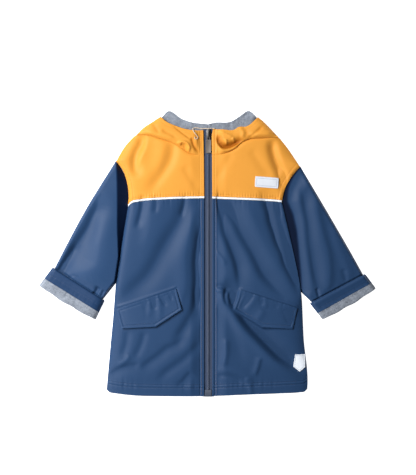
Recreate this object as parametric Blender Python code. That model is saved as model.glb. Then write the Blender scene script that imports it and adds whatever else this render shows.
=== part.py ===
"""A child's hooded raincoat of size 98, zipped up and lying flat on its back.

Frame: +X is the wearer's left, +Y points to the hood, +Z up. The origin is under the middle of the coat,
on the surface that it lies on. Sizes and places are in millimetres, and meshes are made in metres.

Every cloth piece is a wall over a patch of the plan: a grid between four edge lines, with a height for
each grid point. Fronts and hood are open walls, and sleeves and turn-ups are flattened tubes.
"""

import math

import bmesh
import bpy
import numpy as np
from mathutils import Vector
from mathutils.bvhtree import BVHTree

MM = 0.001
COAT = "raincoat"

# ---------------------------------------------------------------- cloth and layers
SEAM_GAP = 0.3  # between two pieces that are sewn together or lie on each other
BACK_CLOTH = 1.5
FRONT_CLOTH = 1.6
SLEEVE_CLOTH = 1.2
LINING_CLOTH = 1.4
FLAP_CLOTH = 1.6
TAPE_CLOTH = 1.0
LABEL_CLOTH = 0.9
LAY_CLEAR = 0.4  # under a flap, label or patch, which lies on a folded panel
COVER_REACH = 2.5  # how far around a point such a piece clears the panel's folds

TUBE_EDGE = 3.0  # height of a sleeve along its creased edges
TUBE_BULGE = 0.7  # how far a creased edge rounds out past its line
LOW_EDGE = BACK_CLOTH + SEAM_GAP + FRONT_CLOTH  # a front where it is sewn to the back
HIGH_EDGE = TUBE_EDGE + SEAM_GAP + FRONT_CLOTH + 0.3  # a front where it lies on a sleeve
SIDE_ROLL = 14.0  # how fast a front rises from its outer edge
BODY_RISE = 7.9  # height of the fronts away from their edges
FOLDED_HOOD = 4.2  # height of the hood's hidden layers
LINING_TOP = FOLDED_HOOD + SEAM_GAP + LINING_CLOTH
HOOD_RISE = 12.5  # crest of the hood's roll
HOOD_ROLL = 6.0  # how fast the hood rises from its neck seam and falls to its rim
LINING_CREASE = 1.3  # highest crease of the lining under the rim
RIM_TOP = LINING_TOP + LINING_CREASE + SEAM_GAP + FRONT_CLOTH
BACK_INSET = 1.8  # how far the back keeps inside the sleeve's root
ARM_INSET = 1.2  # the same along the armhole
HEM_BAND = (-270.0, -190.0)  # the fronts come down over this stretch towards the hem
HEM_THIN = 0.25  # by this share
FOLD_CALM = 0.7  # share of a front's folds that a pocket flap presses flat

# ---------------------------------------------------------------- zip
TAPE_LOW, TAPE_HIGH = 2.4, 6.3  # underside of the tape at the hem and at the neck
ZIP_BOTTOM, ZIP_TOP = -272.4, 238.4
TAPE_HALF = 10.5
PLACKET = 28.0  # width over which a front levels out to the zip
CHAIN_HALF, CHAIN_HEIGHT = 2.4, 1.3
BOX_HALF, BOX_LENGTH, BOX_HEIGHT = 6.6, 13.0, 1.9
SLIDER_BACK, SLIDER_FRONT = 236.0, 217.5  # its ends along the zip
SLIDER_HALF, SLIDER_PLATE = 4.0, 1.8
BRIDGE_HALF, BRIDGE_BAR, BRIDGE_OPEN = 1.2, 1.1, 2.2
FRONT_POST, BACK_POST = (0.8, 2.8), (1.4, 3.6)  # the bridge's posts, from the slider's front and back ends
EYE_CLEAR = 0.4  # between the tab's eye and the front post
EYE_R = 0.7
ARM_INNER, ARM_WIDTH, ARM_HALF_HEIGHT = BRIDGE_HALF + 0.4, 1.5, 0.55
ARM_STRAIGHT = 3.4  # from the eye to the arms' downward bend
TAB_NEAR, TAB_FAR, TAB_HALF, TAB_PLATE = 5.4, 30.8, 5.1, 1.4  # its plate, from the eye
TAB_DROP = 1.9  # how far the tab's plate hangs below its eye
TAB_CORNER = 1.2

# ---------------------------------------------------------------- turn-ups
CUFF_CLOTH = 1.3
CUFF_FACING = 25.0  # navy strip of the turn-up, with its stitch line
CUFF_LINING = 17.0  # grey strip beyond it, up to the fold
CUFF_RISE = 8.6
CUFF_EDGE = 6.4
SLEEVE_IN_CUFF = 13.0  # how far the sleeve reaches into its turn-up
CUFF_CLEAR = TUBE_BULGE + CUFF_CLOTH + SEAM_GAP + 0.6  # from the turn-up's corner to the sleeve's crease
CUFF_ROUNDING = (0.0, 0.3, 1.6)  # how far the fold's rows drop to its end
SLEEVE_RISE = 6.2  # height of a sleeve away from its creases
SLEEVE_ROLL = 20.0  # how fast it rises from the body
UNDER_BODY = 9.0  # width beside the body's edge where a sleeve stays low
CUFF_START, CUFF_IN = 0.62, 0.80  # shares of a sleeve's length over which it lifts into its turn-up
FOLD_WALL = 1.9  # the lining turned on itself at the fold

PIPING_HALF, PIPING_PROUD = 2.0, 1.0

# ---------------------------------------------------------------- edge lines, x and y
LINES = {
    "right": {
        "zip_x": -7.5,
        "hood_zip": [(-8.3, 187.0), (-9.4, 234.1)],
        "hem": [(-7.5, -271.5), (-82.3, -271.1), (-143.1, -269.6), (-176.0, -265.8), (-188.4, -263.6),
                (-193.6, -259.3)],
        "side": [(-193.6, -259.3), (-192.5, -246.0), (-181.6, -126.3), (-175.4, -54.1), (-164.0, 19.9),
                 (-152.6, 91.2)],
        "piping": [(-7.5, 106.8), (-80.4, 104.7), (-131.7, 100.5), (-145.5, 97.5), (-152.6, 91.2)],
        "armhole": [(-152.6, 91.2), (-151.6, 105.4), (-153.7, 130.2), (-163.0, 158.7), (-175.4, 175.8)],
        "shoulder": [(-136.2, 226.1), (-150.7, 213.8), (-160.2, 202.3), (-175.4, 175.8)],
        "underarm": (-141.2, 25.6),
        "hood_seam": [(-8.3, 187.0), (-25.3, 187.6), (-35.7, 190.5), (-51.9, 201.4), (-69.0, 209.9),
                      (-91.8, 217.5), (-113.6, 224.2), (-136.2, 226.1)],
        "rim": [(-9.4, 234.1), (-25.3, 233.9), (-38.6, 235.4), (-61.4, 242.2), (-80.4, 251.0),
                (-90.8, 260.1)],
        "hood_side": [(-136.2, 226.1), (-124.1, 238.4), (-107.0, 249.8), (-90.8, 260.1)],
        "lining_top": [(-0.8, 246.0), (-15.8, 247.4), (-28.1, 248.9), (-50.0, 256.1), (-76.6, 270.8),
                       (-88.5, 259.0)],
        "lining_low": [(-0.8, 228.0), (-15.0, 227.6), (-38.0, 228.6), (-62.0, 236.0), (-80.0, 245.5),
                       (-88.0, 256.5)],
        "sleeve_out": [(-175.4, 175.8), (-235.6, 77.8), (-264.2, 24.8)],
        "cuff": [(-294.1, -27.5), (-199.1, -88.3)],
        "cuff_fold": [(-320.1, -61.8), (-216.6, -124.8)],
    },
    "left": {
        "zip_x": 7.5,
        "hood_zip": [(7.0, 188.0), (8.4, 236.0)],
        "hem": [(7.5, -271.3), (76.4, -268.0), (136.2, -265.8), (174.0, -263.8), (183.4, -262.4),
                (188.3, -257.5)],
        "side": [(188.3, -257.5), (188.8, -249.8), (181.8, -164.3), (176.1, -71.2), (159.0, 16.1),
                 (140.0, 98.8)],
        "piping": [(7.5, 106.2), (69.0, 103.7), (110.0, 101.7), (132.0, 100.0), (140.0, 98.8)],
        "armhole": [(140.0, 98.8), (141.9, 108.3), (147.1, 126.3), (157.1, 143.4), (174.2, 165.3)],
        "shoulder": [(133.6, 220.8), (143.8, 209.9), (153.9, 196.6), (174.2, 165.3)],
        "underarm": (141.9, 12.3),
        "hood_seam": [(7.0, 188.0), (22.2, 188.6), (37.4, 192.3), (52.6, 200.4), (64.0, 210.6),
                      (78.0, 216.8), (106.0, 219.2), (133.6, 220.8)],
        "rim": [(8.4, 236.0), (26.0, 235.6), (49.6, 235.2), (57.9, 240.3), (70.7, 240.8), (94.4, 259.0)],
        "hood_side": [(133.6, 220.8), (117.2, 238.4), (105.8, 249.8), (94.4, 259.0)],
        "lining_top": [(-0.5, 246.0), (10.8, 248.7), (43.1, 251.0), (60.0, 261.0), (76.4, 270.8),
                       (92.0, 258.4)],
        "lining_low": [(-0.5, 228.0), (15.0, 227.6), (40.0, 228.6), (62.0, 233.5), (78.0, 242.5),
                       (91.0, 255.5)],
        "sleeve_out": [(174.2, 165.3), (233.1, 65.5), (262.0, 15.5)],
        "cuff": [(296.2, -39.9), (195.1, -94.0)],
        "cuff_fold": [(316.7, -67.5), (219.1, -124.4)],
    },
}
SIDES = {"right": -1, "left": 1}
SIDE_AT_SLEEVE = 3  # the point of a side line where the sleeve comes out from under the front
OUTER_RUNS = (("side", 1), ("armhole", 1), ("shoulder", -1))  # a front's outer edge, and how each runs

# ---------------------------------------------------------------- grid steps
BODY_ROWS, YOKE_ROWS, FRONT_COLUMNS = 17, 8, 13
SEAM_STEPS = 9  # steps of the line where a yoke and a hood side meet
SLEEVE_ROWS, SLEEVE_COLUMNS = 12, 8
CORD_STEPS = 24
NECK_STEPS = 14  # steps of the line where the back yoke meets the folded hood
NECK = [(-128.0, 227.0), (-108.0, 221.0), (-84.0, 206.0), (-40.0, 191.0), (0.0, 187.5), (40.0, 190.5),
        (84.0, 203.0), (106.0, 216.0), (125.0, 221.5)]
HOOD_BACK = [(-128.0, 231.0), (-118.0, 240.0), (-107.0, 248.0), (-90.0, 258.0), (-76.6, 268.8),
             (-50.0, 254.4), (0.0, 244.4), (43.0, 249.3), (76.4, 268.8), (92.5, 256.5), (115.0, 236.6),
             (125.0, 225.5)]
BACK_SEAM_Y = 96.0

# Folds of the fronts: from x, y to x, y, how far the line bows to its left, its half width, and its
# height, which is negative in a trough.
FRONT_FOLDS = {
    "right": [
        (-121, 216, -117, 98, 2, 11, 1.8),
        (-131, 221, -144, 120, -7, 10, -2.6),
        (-69, 199, -106, 112, 6, 13, -1.5),
        (-120, 96, -138, 6, 4, 11, -2.0),
        (-44, 94, -132, -52, 10, 18, -2.2),
        (-25, 76, -66, -16, 6, 14, -2.2),
        (-27, 45, -36, -148, -4, 11, -2.4),
        (-50, -126, -112, -222, 6, 14, -2.0),
        (-150, -160, -160, -235, 0, 16, 1.6),
    ],
    "left": [
        (113, 204, 138, 112, -6, 9, -3.2),
        (134, 204, 143, 140, 0, 8, 1.6),
        (66, 182, 106, 138, 0, 12, -1.4),
        (16, 94, 50, -14, -6, 12, -2.2),
        (100, 94, 168, -78, -14, 14, -2.5),
        (60, 60, 110, -60, 0, 20, 1.4),
        (34, -84, 124, -196, 8, 11, -3.0),
        (24, -140, 104, -228, 0, 15, 1.8),
    ],
}
SLEEVE_FOLDS = {
    "right": [(-232, 62, -280, -22, 3, 10, -2.2), (-206, 96, -252, -8, 0, 16, 1.6),
              (-205, -40, -222, -74, 6, 9, -1.8)],
    "left": [(206, 84, 238, -40, 0, 12, -2.0), (226, 40, 262, -50, 0, 12, 1.8)],
}
HOOD_FOLDS = {
    "right": [(-46, 240, -122, 232, -6, 8, 1.6), (-26, 226, -52, 206, 2, 7, -2.0),
              (-14, 214, -34, 200, 0, 6, -1.4)],
    "left": [(20, 226, 44, 206, -4, 7, -2.4), (56, 236, 48, 212, 3, 6, -1.6),
             (64, 232, 112, 234, 0, 8, 1.4)],
}
LINING_FOLDS = {
    "right": [(-76, 268, -62, 240, 0, 6, 1.1), (-18, 246, -24, 232, 0, 4, -0.6)],
    "left": [(76, 268, 50, 240, 0, 6, 1.1), (42, 250, 36, 236, 0, 4, -0.6)],
}

# Pocket flaps: top edge and lower edge, each from the side towards the zip
FLAPS = {
    "right": {
        "top": [(-175.2, -105.3), (-60.6, -67.1)],
        "low": [(-164.4, -142.3), (-99.9, -139.1), (-49.8, -106.4)],
    },
    "left": {
        "top": [(169.5, -103.4), (61.4, -68.8)],
        "low": [(160.4, -143.6), (102.8, -140.0), (48.6, -106.8)],
    },
}
FLAP_REACH = (74.0, 46.0)  # half sizes of the calm field that a flap lies on
FLAP_LIFT = 1.2  # how far a flap's free edge stands off the coat
LABEL_CORNERS = [(88.0, 126.5), (132.6, 123.1), (133.9, 143.4), (89.1, 146.9)]
PATCH_TOP = [(164.9, -191.9), (184.0, -191.1)]
PATCH_LOW = [(161.5, -214.9), (173.5, -224.8), (184.3, -216.0)]

# Neck cord: a thin cord from behind the zip's top end, over the rim to a small loop, x and y
CORD_R = 0.8
CORD_ROUTE = [(13.5, 240.6), (4.0, 240.9), (-6.0, 240.8), (-16.0, 240.2), (-24.5, 240.4), (-29.3, 237.6),
              (-28.2, 232.4), (-25.2, 227.8), (-21.8, 223.6), (-19.8, 219.8), (-22.0, 217.0), (-25.2, 218.2),
              (-25.6, 221.4)]

# ---------------------------------------------------------------- cloth colours: base, roughness, metallic
MATERIALS = {
    "navy_cloth": ((0.035, 0.075, 0.19), 0.45, 0.0),
    "orange_cloth": ((0.93, 0.40, 0.07), 0.45, 0.0),
    "grey_jersey": ((0.36, 0.39, 0.46), 0.9, 0.0),
    "piping_white": ((0.85, 0.87, 0.9), 0.6, 0.0),
    "zip_tape": ((0.04, 0.06, 0.12), 0.8, 0.0),
    "zip_coil": ((0.16, 0.18, 0.22), 0.5, 0.0),
    "zip_box": ((0.30, 0.31, 0.34), 0.45, 0.0),
    "zip_metal": ((0.12, 0.115, 0.11), 0.4, 0.9),
    "tab_metal": ((0.33, 0.31, 0.29), 0.45, 0.8),
    "label_silver": ((0.78, 0.8, 0.84), 0.5, 0.0),
    "patch_grey": ((0.7, 0.74, 0.8), 0.6, 0.0),
    "cord_beige": ((0.68, 0.56, 0.42), 0.8, 0.0),
}


# ---------------------------------------------------------------- lines
def smooth(points, places):
    """The points of a smooth curve through `points` at the given shares of its length.

    Each stretch is a cubic whose slope at a point is that of the two points beside it.
    """
    knots = np.array(points, float)
    step = np.linalg.norm(np.diff(knots, axis=0), axis=1)
    run = np.concatenate([[0.0], np.cumsum(step)])
    if len(knots) == 2:
        return knots[0] + np.asarray(places)[:, None] * (knots[1] - knots[0])
    slope = np.gradient(knots, run, axis=0)
    at = np.asarray(places) * run[-1]
    k = np.clip(np.searchsorted(run, at, side="right") - 1, 0, len(step) - 1)
    h = step[k][:, None]
    t = ((at - run[k]) / step[k])[:, None]
    return (
        (2 * t**3 - 3 * t**2 + 1) * knots[k]
        + (t**3 - 2 * t**2 + t) * h * slope[k]
        + (3 * t**2 - 2 * t**3) * knots[k + 1]
        + (t**3 - t**2) * h * slope[k + 1]
    )


def even(count):
    return np.linspace(0.0, 1.0, count + 1)


def between(a, b, count):
    return smooth([tuple(a), tuple(b)], even(count))


def towards_end(count):
    """Shares of a length that lie closer together near 1."""
    return 1.0 - (1.0 - even(count)) ** 1.4


def joined(*runs):
    """Runs of points laid end to end, each starting where the last one stopped."""
    return np.concatenate([runs[0]] + [run[1:] for run in runs[1:]])


def patch(low, high, start, end):
    """Grid of plan points between four edge lines, which bends evenly from each edge to the other."""
    u = np.linspace(0, 1, len(low))[None, :, None]
    v = np.linspace(0, 1, len(start))[:, None, None]
    across = (1 - u) * start[:, None] + u * end[:, None]
    along = (1 - v) * low[None] + v * high[None]
    corners = (1 - v) * ((1 - u) * low[0] + u * low[-1]) + v * ((1 - u) * high[0] + u * high[-1])
    return across + along - corners


def unit(vectors):
    """The vectors, each brought to a length of 1."""
    return vectors / np.linalg.norm(vectors, axis=-1, keepdims=True)


def distance_to(line, plan):
    """Distance from each plan point to a line of straight stretches."""
    best = np.full(plan.shape[:-1], np.inf)
    for a, b in zip(line[:-1], line[1:]):
        run = b - a
        share = np.clip(((plan - a) @ run) / max(run @ run, 1e-9), 0, 1)
        best = np.minimum(best, np.linalg.norm(plan - a - share[..., None] * run, axis=-1))
    return best


def step_up(value, low, high):
    """0 below `low`, 1 above `high` and a soft S between them."""
    t = np.clip((value - low) / (high - low), 0, 1)
    return t * t * (3 - 2 * t)


def relief(plan, folds):
    """Sum of soft folds: each is a bell across its line, fading out at both ends of it."""
    total = np.zeros(plan.shape[:-1])
    for x0, y0, x1, y1, bow, width, height in folds:
        start, run = np.array([x0, y0], float), np.array([x1 - x0, y1 - y0], float)
        length = np.linalg.norm(run)
        share = ((plan - start) @ run) / length**2
        inside = np.clip(share, 0, 1)
        side = (plan - start) @ np.array([-run[1], run[0]]) / length
        away = side - bow * 4 * inside * (1 - inside)
        fade = step_up(share, -0.12, 0.25) * (1 - step_up(share, 0.75, 1.12))
        total += height * fade * np.exp(-((away / width) ** 2))
    return total


# ---------------------------------------------------------------- meshes
def add_object(name, data, slot, place=(0.0, 0.0, 0.0)):
    """Links a mesh or curve under the coat's empty, at `place`, with its material."""
    obj = bpy.data.objects.new(name, data)
    bpy.context.scene.collection.objects.link(obj)
    obj.parent = bpy.data.objects[COAT]
    obj.location = Vector(place) * MM
    data.materials.append(bpy.data.materials[slot])
    return obj


def add_mesh(name, points, faces, slot, place=(0.0, 0.0, 0.0)):
    mesh = bpy.data.meshes.new(name)
    mesh.from_pydata((np.asarray(points) * MM).tolist(), [], [tuple(int(i) for i in f) for f in faces])
    work = bmesh.new()
    work.from_mesh(mesh)
    bmesh.ops.recalc_face_normals(work, faces=work.faces)
    work.to_mesh(mesh)
    work.free()
    mesh.shade_smooth()
    mesh.set_sharp_from_angle(angle=math.radians(40))
    return add_object(name, mesh, slot, place)


def grid_faces(rows, cols, first=0, closed=False):
    """Quads of a grid whose points count row by row; a closed grid joins its last column to its first."""
    r, c = np.meshgrid(np.arange(rows - 1), np.arange(cols if closed else cols - 1), indexing="ij")
    a = (first + r * cols + c).ravel()
    b = (first + r * cols + (c + 1) % cols).ravel()
    return np.stack([a, b, b + cols, a + cols], axis=1)


def wall(name, plan, top, cloth, lowest, slot):
    """A sheet of cloth: `top` is its upper face and the lower face is a cloth's thickness under it.

    The drop is longer where the sheet slopes, so that the thickness stays even, and never goes under
    `lowest`, which is what the sheet lies on.
    """
    rows, cols = top.shape
    grade = np.hypot(*slopes(plan, top))
    low = np.maximum(top - cloth * np.sqrt(1 + np.minimum(grade, 1.2) ** 2), lowest)
    count = rows * cols
    points = np.concatenate([
        np.dstack([plan, top]).reshape(-1, 3),
        np.dstack([plan, np.broadcast_to(low, top.shape)]).reshape(-1, 3),
    ])
    index = np.arange(count).reshape(rows, cols)
    around = np.concatenate([index[0, :-1], index[:-1, -1], index[-1, :0:-1], index[:0:-1, 0]])
    after = np.roll(around, -1)
    rim = np.stack([after, around, around + count, after + count], axis=1)
    faces = np.concatenate([grid_faces(rows, cols), grid_faces(rows, cols, count), rim])
    return add_mesh(name, points, faces, slot)


def slopes(plan, top):
    """Slope of the height along x and y at each grid point, from the grid's own steps."""
    step_v, step_u = (np.stack(np.gradient(plan[..., k]), axis=-1) for k in (0, 1))
    rise = np.stack(np.gradient(top), axis=-1)
    det = step_v[..., 0] * step_u[..., 1] - step_v[..., 1] * step_u[..., 0]
    det = np.where(np.abs(det) < 1e-6, 1e-6, det)
    x = (rise[..., 0] * step_u[..., 1] - rise[..., 1] * step_u[..., 0]) / det
    y = (rise[..., 1] * step_v[..., 0] - rise[..., 0] * step_v[..., 1]) / det
    return x, y


def tube(name, plan, top, under, cloth, slot):
    """A flattened tube: a ring of cloth at each row of the grid, open at both ends.

    The ring runs over the top from the first column to the last, round the crease there, back along
    the underside and round the other crease. The inner face is a cloth's thickness inside it.
    """
    rows, cols = top.shape
    out_first = unit(plan[:, 0] - plan[:, 1])
    out_last = unit(plan[:, -1] - plan[:, -2])

    def ring(inset, top_z, low_z):
        share = np.linspace(0, 1, cols)[None, :, None]
        flat = plan - inset * ((1 - share) * out_first[:, None] + share * out_last[:, None])
        middle = (top_z + low_z) / 2
        over = np.dstack([flat, top_z])
        below = np.dstack([flat, low_z])[:, ::-1]
        last = np.concatenate([flat[:, -1] + out_last * TUBE_BULGE, middle[:, -1:]], axis=1)[:, None]
        first = np.concatenate([flat[:, 0] + out_first * TUBE_BULGE, middle[:, :1]], axis=1)[:, None]
        return np.concatenate([over, last, below, first], axis=1)

    outer = ring(0.0, top, under)
    inner = ring(cloth, top - cloth, under + cloth)
    around = outer.shape[1]
    count = rows * around
    points = np.concatenate([outer.reshape(-1, 3), inner.reshape(-1, 3)])
    ends = []
    for row in (0, rows - 1):
        a = row * around + np.arange(around)
        b = np.roll(a, -1)
        ends.append(np.stack([b, a, a + count, b + count], axis=1))
    faces = np.concatenate([
        grid_faces(rows, around, closed=True), grid_faces(rows, around, count, closed=True), *ends
    ])
    return add_mesh(name, points, faces, slot)


def prism(name, outline, start, end, axis, slot, place=(0.0, 0.0, 0.0)):
    """A closed outline, given in the two other directions, carried along an axis from `start` to `end`."""
    count = len(outline)
    points = [list(point) for point in outline] * 2
    points = [point[:axis] + [start if i < count else end] + point[axis:] for i, point in enumerate(points)]
    faces = [tuple(range(count)), tuple(range(count, 2 * count))]
    faces += [(i, (i + 1) % count, (i + 1) % count + count, i + count) for i in range(count)]
    return add_mesh(name, points, faces, slot, place)


def union(target, others):
    """Joins solids that overlap into `target`, and removes them."""
    for other in others:
        cut = target.modifiers.new("join", "BOOLEAN")
        cut.operation = "UNION"
        cut.solver = "EXACT"
        cut.object = other
        bpy.context.view_layer.update()
        evaluated = target.evaluated_get(bpy.context.evaluated_depsgraph_get())
        mesh = bpy.data.meshes.new_from_object(evaluated)
        target.modifiers.clear()
        target.data = mesh
        bpy.data.objects.remove(other)


class Surface:
    """Height of a finished piece's upper face, read straight down."""

    def __init__(self, *objects):
        points, faces = [], []
        for obj in objects:
            first = len(points)
            points += [v.co / MM for v in obj.data.vertices]
            faces += [[first + i for i in face.vertices] for face in obj.data.polygons]
        self.tree = BVHTree.FromPolygons(points, faces)

    def cover(self, plan, reach, otherwise=0.0):
        """Highest of the surface at each plan point and `reach` away from it on eight sides."""
        turns = np.arange(8) * math.pi / 4
        near = [self.heights(plan + reach * np.array([math.cos(t), math.sin(t)]), otherwise) for t in turns]
        return np.maximum.reduce([self.heights(plan, otherwise)] + near)

    def heights(self, plan, otherwise=0.0):
        flat = plan.reshape(-1, 2)
        found = np.full(len(flat), otherwise)
        for i, (x, y) in enumerate(flat):
            hit = self.tree.ray_cast(Vector((x, y, 100.0)), Vector((0, 0, -1)))[0]
            if hit is not None:
                found[i] = hit.z
        return found.reshape(plan.shape[:-1])


# ---------------------------------------------------------------- heights
def tape_under(y):
    """Underside of the zip tape, which climbs from the hem to the neck."""
    return TAPE_LOW + (TAPE_HIGH - TAPE_LOW) * (y - ZIP_BOTTOM) / (ZIP_TOP - ZIP_BOTTOM)


def zip_edge(y):
    """Upper face of a front where it meets the zip."""
    return tape_under(y) + TAPE_CLOTH + SEAM_GAP + FRONT_CLOTH


def front_edge(side, y):
    """Upper face of a front along its outer edge: higher where it lies on the sleeve."""
    sleeve_leaves = LINES[side]["side"][SIDE_AT_SLEEVE][1]
    shoulder = LINES[side]["shoulder"][-1][1]
    on_sleeve = step_up(y, sleeve_leaves - 42, sleeve_leaves - 6) * (1 - step_up(y, shoulder, shoulder + 24))
    return LOW_EDGE + (HIGH_EDGE - LOW_EDGE) * on_sleeve


def front_heights(side, plan):
    """Upper face and lowest underside of a front: it rolls up from its outer edge to a level placket."""
    lines = LINES[side]
    outer = joined(*(smooth(lines[name][::turn], even(12)) for name, turn in OUTER_RUNS))
    y = plan[..., 1]
    edge = front_edge(side, y)
    rise = 1 - np.exp(-distance_to(outer, plan) / SIDE_ROLL)
    full = BODY_RISE * (1 - HEM_THIN * (1 - step_up(y, *HEM_BAND)))
    folds = relief(plan, FRONT_FOLDS[side]) * (1 - FOLD_CALM * on_flap(side, plan))
    body = edge + (full - edge + folds) * rise
    away = step_up(np.abs(plan[..., 0]) - abs(lines["zip_x"]), 5, PLACKET)
    top = zip_edge(y) * (1 - away) + body * away
    return np.maximum(top, edge), edge - FRONT_CLOTH


def on_flap(side, plan):
    """1 under a pocket flap, fading to 0 beyond its edges."""
    flap = FLAPS[side]
    middle = np.mean(np.array(flap["top"] + flap["low"]), axis=0)
    reach = np.abs(plan - middle) / np.array(FLAP_REACH)
    return 1 - step_up(np.max(reach, axis=-1), 0.75, 1.15)


# ---------------------------------------------------------------- body
def seam_points(side, offset):
    """The seam under the yoke, moved up by `offset`, from the zip to the armhole."""
    line = smooth(LINES[side]["piping"], towards_end(FRONT_COLUMNS))
    return line + np.array([0.0, offset])


def make_fronts():
    made = {}
    clear = PIPING_HALF + SEAM_GAP
    for side in SIDES:
        lines = LINES[side]
        seam_low, seam_high = seam_points(side, -clear), seam_points(side, clear)
        side_line = smooth(lines["side"], even(BODY_ROWS))
        side_line = side_line + (seam_low[-1] - side_line[-1]) * even(BODY_ROWS)[:, None] ** 6
        zip_line = smooth([(lines["zip_x"], lines["hem"][0][1]), tuple(seam_low[0])], even(BODY_ROWS))
        hem = smooth(lines["hem"], towards_end(FRONT_COLUMNS))
        plan = patch(hem, seam_low, zip_line, side_line)
        top, lowest = front_heights(side, plan)
        made[f"body_{side}"] = wall(f"front_body_{side}", plan, top, FRONT_CLOTH, lowest, "navy_cloth")

        shoulder = smooth(lines["shoulder"], even(FRONT_COLUMNS - SEAM_STEPS))
        neck = joined(smooth(lines["hood_seam"], even(SEAM_STEPS)), shoulder)
        neck = neck - np.array([0.0, SEAM_GAP + 0.2])
        armhole = [tuple(seam_high[-1])] + lines["armhole"][1:-1] + [tuple(neck[-1])]
        armhole = smooth(armhole, even(YOKE_ROWS))
        zip_line = smooth([tuple(seam_high[0]), tuple(neck[0])], even(YOKE_ROWS))
        plan = patch(seam_high, neck, zip_line, armhole)
        top, lowest = front_heights(side, plan)
        made[f"yoke_{side}"] = wall(f"front_yoke_{side}", plan, top, FRONT_CLOTH, lowest, "orange_cloth")

        across = np.stack([seam_points(side, offset) for offset in (-PIPING_HALF, 0.0, PIPING_HALF)])
        level, _ = front_heights(side, across)
        top = level + PIPING_PROUD * np.array([[0.2], [1.0], [0.2]])
        wall(f"piping_{side}", across, top, FRONT_CLOTH + PIPING_PROUD, level - FRONT_CLOTH, "piping_white")
    return made


def back_edges(side):
    """The back's outer edge below the yoke seam, and the back yoke's above it.

    The lower one follows the side seam, then runs in under the front along the sleeve's root to the
    underarm, and up the armhole. Both keep inside the sleeve's edge.
    """
    lines = LINES[side]
    inward = -SIDES[side]
    side_run = smooth(lines["side"][:SIDE_AT_SLEEVE + 1], even(8))[:-1]
    sleeve_leaves = np.array(lines["side"][SIDE_AT_SLEEVE]) + np.array([inward * BACK_INSET, -3.0])
    underarm = np.array(lines["underarm"]) + np.array([inward * BACK_INSET, -0.4])
    arm_x = lines["armhole"][0][0] + inward * ARM_INSET
    low_edge = joined(
        np.vstack([side_run, sleeve_leaves]),
        between(sleeve_leaves, underarm, 3),
        between(underarm, (arm_x, BACK_SEAM_Y - SEAM_GAP / 2), 3),
    )
    arm = [(x + inward * ARM_INSET, y) for x, y in lines["armhole"][1:]]
    high_edge = smooth([(arm_x, BACK_SEAM_Y + SEAM_GAP / 2)] + arm, even(5))
    return low_edge, high_edge


def make_back():
    """Back and back yoke: flat pieces on the surface, sewn to each other, to the sleeves and to the hood."""
    low_right, high_right = back_edges("right")
    low_left, high_left = back_edges("left")
    hem = joined(smooth(LINES["right"]["hem"][::-1], even(5)), smooth(LINES["left"]["hem"], even(5)))
    seam = between(low_right[-1], low_left[-1], len(hem) - 1)
    plan = patch(hem, seam, low_right, low_left)
    wall("back_body", plan, np.full(plan.shape[:-1], BACK_CLOTH), BACK_CLOTH, 0.0, "navy_cloth")

    neck = joined(
        smooth(LINES["right"]["shoulder"][::-1], even(3)), smooth(NECK, even(NECK_STEPS)),
        smooth(LINES["left"]["shoulder"], even(3)),
    )
    neck = neck - np.array([0.0, 2 * SEAM_GAP])
    neck[0], neck[-1] = high_right[-1], high_left[-1]
    seam = between(high_right[0], high_left[0], len(neck) - 1)
    plan = patch(seam, neck, high_right, high_left)
    wall("back_yoke", plan, np.full(plan.shape[:-1], BACK_CLOTH), BACK_CLOTH, 0.0, "orange_cloth")


# ---------------------------------------------------------------- sleeves and turn-ups
def cuff_frame(side):
    """Corners of the turn-up at its hem edge, at the facing's far edge and at the fold, outer then inner."""
    hem = np.array(LINES[side]["cuff"], float)
    fold = np.array(LINES[side]["cuff_fold"], float)
    share = CUFF_FACING / (CUFF_FACING + CUFF_LINING)
    return hem, hem + (fold - hem) * share, fold


def make_sleeves():
    for side in SIDES:
        lines = LINES[side]
        hem, _, fold = cuff_frame(side)
        across = unit(hem[1] - hem[0])
        mouth = hem + np.stack([across, -across]) * CUFF_CLEAR
        end = mouth + unit(fold - hem) * SLEEVE_IN_CUFF
        outer = smooth(lines["sleeve_out"] + [tuple(mouth[0])], even(SLEEVE_ROWS - 2))
        outer = joined(outer, between(mouth[0], end[0], 2))
        exit_point = lines["side"][SIDE_AT_SLEEVE]
        inner = joined(
            between(lines["underarm"], exit_point, SLEEVE_ROWS // 2 - 1),
            between(exit_point, mouth[1], SLEEVE_ROWS // 2 - 1),
            between(mouth[1], end[1], 2),
        )
        armhole = joined(
            smooth(lines["armhole"][::-1], even(SLEEVE_COLUMNS - 3)),
            between(lines["armhole"][0], lines["underarm"], 3),
        )
        armhole = armhole + np.array([SIDES[side] * 0.3, 0.0])
        armhole[0], armhole[-1] = outer[0], inner[0]
        plan = patch(armhole, between(end[0], end[1], SLEEVE_COLUMNS), outer, inner)
        row = even(SLEEVE_ROWS)[:, None]
        lens = creased(SLEEVE_COLUMNS)
        rise = 1 - np.exp(-np.maximum(past_body(side, plan) - UNDER_BODY, 0) / SLEEVE_ROLL)
        top = TUBE_EDGE + (SLEEVE_RISE - TUBE_EDGE) * lens * rise
        top = top + relief(plan, SLEEVE_FOLDS[side]) * rise * lens * (1 - step_up(row, 0.7, CUFF_IN))
        lift = (CUFF_CLOTH + SEAM_GAP + 0.1) * step_up(row, CUFF_START, CUFF_IN) + np.zeros_like(top)
        top = np.maximum(top, lift + TUBE_EDGE)
        tube(f"sleeve_{side}", plan, top, lift, SLEEVE_CLOTH, "navy_cloth")


def creased(columns):
    """How full a flattened tube is across its width: 0 at both creases and nearly 1 between them."""
    column = even(columns)[None, :]
    return 1 - np.exp(-np.minimum(column, 1 - column) * 9)


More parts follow.
